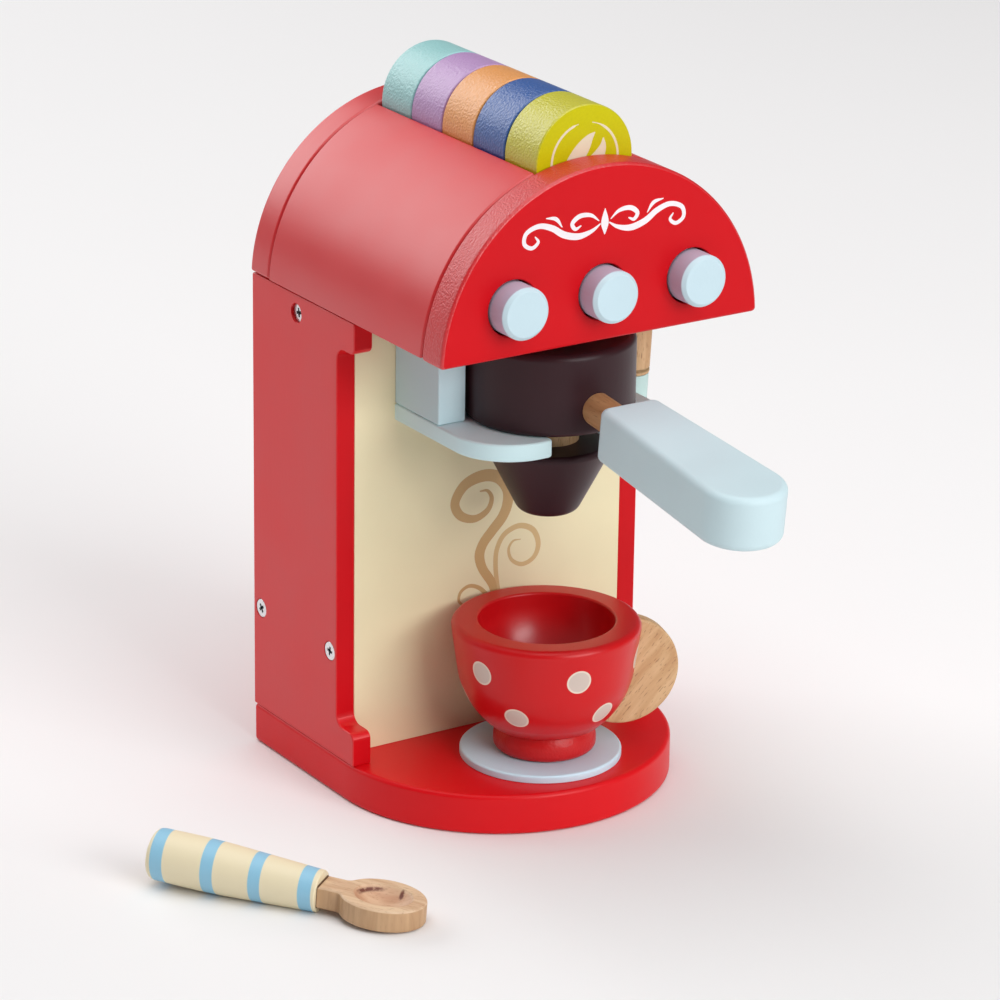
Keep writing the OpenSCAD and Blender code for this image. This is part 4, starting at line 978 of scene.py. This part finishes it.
# A thin dark rim stands a little proud between the head and the handle: a painted shadow in the joint.
bm = bmesh.new()
outline = rounded([(-5.1, -3.95, 1), (5.1, -3.95, 1), (5.1, 3.95, 1), (-5.1, 3.95, 1)])
board(bm, [outline], 0.3, spoon_place @ at(58.3, 0, 0) @ SIDEWAYS, [0.05])
beech_joint_shadow = bare_beech("beech_joint_shadow", light=(122, 94, 68), dark=(98, 72, 50))
piece("joint_shadow_rim", bm, beech_joint_shadow, "spoon")


def scoop_height(x, y):
    """Height of the hollow above its lowest point: a turned form, longer along the spoon than across."""
    beside = math.sqrt(SCOOP_ACROSS_R ** 2 - y ** 2) + SCOOP_LONG_R - SCOOP_ACROSS_R
    return SCOOP_LONG_R - math.sqrt(max(0, beside ** 2 - x ** 2))


def scoop_reach(turn):
    """Distance from the hollow's middle to its rim, by halving. Only near the long way is it over 9.15."""
    near, away = 0.0, 9.15
    if scoop_height(away * math.cos(turn), away * math.sin(turn)) < SCOOP_DEEP:
        away = 9.9
    for _ in range(30):
        half = (near + away) / 2
        if scoop_height(half * math.cos(turn), half * math.sin(turn)) < SCOOP_DEEP:
            near = half
        else:
            away = half
    return near


def scorch_and_shade(tree, base):
    """Redder, darker wood in the hollow, which is painted shade, with scorched marks where the cutter rubbed its
    steep end and beside it; these marks also stand in for the shadow on that steep wall.
    """
    parts = put(tree, "ShaderNodeSeparateXYZ", {0: object_space(tree, SPOON, (0, 0, SPOON_TURN))})
    along = span(tree, parts.outputs["X"], SCOOP_FROM * MM, SCOOP_TO * MM, -1.0, 1.0)
    across = calc(tree, "DIVIDE", parts.outputs["Y"], SCOOP_HALF_Y * MM)
    reach = calc(tree, "SQRT", calc(tree, "ADD", calc(tree, "POWER", along, 2.0),
                                    calc(tree, "POWER", across, 2.0)))
    base = mix_inputs(tree, span(tree, reach, 1.0, 0.9, 0.0, 0.22, smooth=True), base, linear(186, 108, 84))
    mark_noise = put(tree, "ShaderNodeTexNoise", {"Vector": put(tree, "ShaderNodeTexCoord").outputs["Object"],
                                              "Scale": 900.0, "Detail": 3.0}).outputs["Fac"]
    far_end = calc(tree, "MULTIPLY_ADD", across, 0.6, calc(tree, "MULTIPLY", along, -0.8))
    wall = calc(tree, "MULTIPLY", span(tree, reach, 0.74, 0.82, smooth=True),
                span(tree, reach, 0.93, 0.87, smooth=True))
    mark = calc(tree, "MULTIPLY", span(tree, far_end, 0.55, 0.8, smooth=True), wall)
    mark = calc(tree, "MULTIPLY", mark, span(tree, mark_noise, 0.35, 0.5, 0.4, 1.0))
    place = put(tree, "ShaderNodeCombineXYZ", {"X": calc(tree, "MULTIPLY", along, 2.2), "Y": across}).outputs[0]
    spot = put(tree, "ShaderNodeVectorMath", {0: place, 1: (0.96, 0.71, 0)}, operation="DISTANCE")
    spot = calc(tree, "MULTIPLY", span(tree, spot.outputs["Value"], 0.26, 0.1, smooth=True),
                span(tree, mark_noise, 0.35, 0.5, 0.3, 1.0))
    return mix_inputs(tree, calc(tree, "MAXIMUM", mark, spot), base, linear(112, 60, 44))


head = spoon_place @ at(SPOON_L, 0, -HEAD_T / 2)
bm = bmesh.new()
meet = math.degrees(math.asin(HEAD_NECK_Y / OVAL_WIDE))
join = OVAL_X - OVAL_LONG * math.cos(math.radians(meet))
oval = [(OVAL_X + OVAL_LONG * math.cos(t), OVAL_WIDE * math.sin(t), 0)
        for t in (math.radians((164 - meet) * (k / 48 - 1)) for k in range(97))]
outline = rounded([(0.1, HEAD_NECK_Y, 0), (0.1, -HEAD_NECK_Y, 0), (join, -HEAD_NECK_Y, 2.5)] + oval
                  + [(join, HEAD_NECK_Y, 2.5)])
top = board(bm, [outline], HEAD_T, head, [0.9], open_top=True)
scoop = []
for share in (1 - k / 16 for k in range(16)):
    ring = [(share * scoop_reach(t) * math.cos(t), share * scoop_reach(t) * math.sin(t))
            for t in (2 * math.pi * m / 64 for m in range(64))]
    scoop.append([bm.verts.new(head @ Vector((SCOOP_X + x, y, HEAD_T - SCOOP_DEEP + scoop_height(x, y))))
                  for x, y in ring])
for outer, within in zip(scoop, scoop[1:]):
    bridge(bm, outer, within)
bm.faces.new(scoop[-1])
fill(bm, [top[0], scoop[0]])
grain_at = (-100, -84, 5)
beech_spoon = bare_beech("beech_spoon", centre=grain_at, turn=(0, 0, SPOON_TURN), light=(222, 192, 158),
                         dark=(196, 156, 122), decorate=scorch_and_shade, pores=0.4)
spoon_head = piece("spoon_bowl", bm, beech_spoon, "spoon", ["spoon_head"])
beech_side = bare_beech("beech_spoon_side", centre=grain_at, turn=(0, 90, 0), light=(206, 168, 128),
                        dark=(180, 140, 102), pores=0.15)


def on_side(face):
    """True for the head's side walls, and not for its top, its underside and its hollow."""
    x, y = (Matrix.Rotation(math.radians(SPOON_TURN), 3, "Z") @ (face.center - Vector(SPOON) * MM)).xy / MM
    round_hollow = math.hypot((x - (SCOOP_FROM + SCOOP_TO) / 2) / 10.3, y / 8.4)
    return face.normal.z < 0.45 and face.center.z > 0.5 * MM and round_hollow > 1


repaint(spoon_head, beech_side, on_side)

# ---- Hidden pieces ----
# The boards, the pods' trough, the dowels and the screws inside the toy, of beech, painted board and zinc.
# They keep their CAD shape and only take these finishes.

inner_finishes = {"top_board": beech, "head_floor": red, "pod_trough": beech, "spring_board": beech,
                  "cup_dowels": beech, "base_screws": steel, "head_screws": steel}
for name, material in inner_finishes.items():
    nodes[name].data.materials.clear()
    nodes[name].data.materials.append(material)
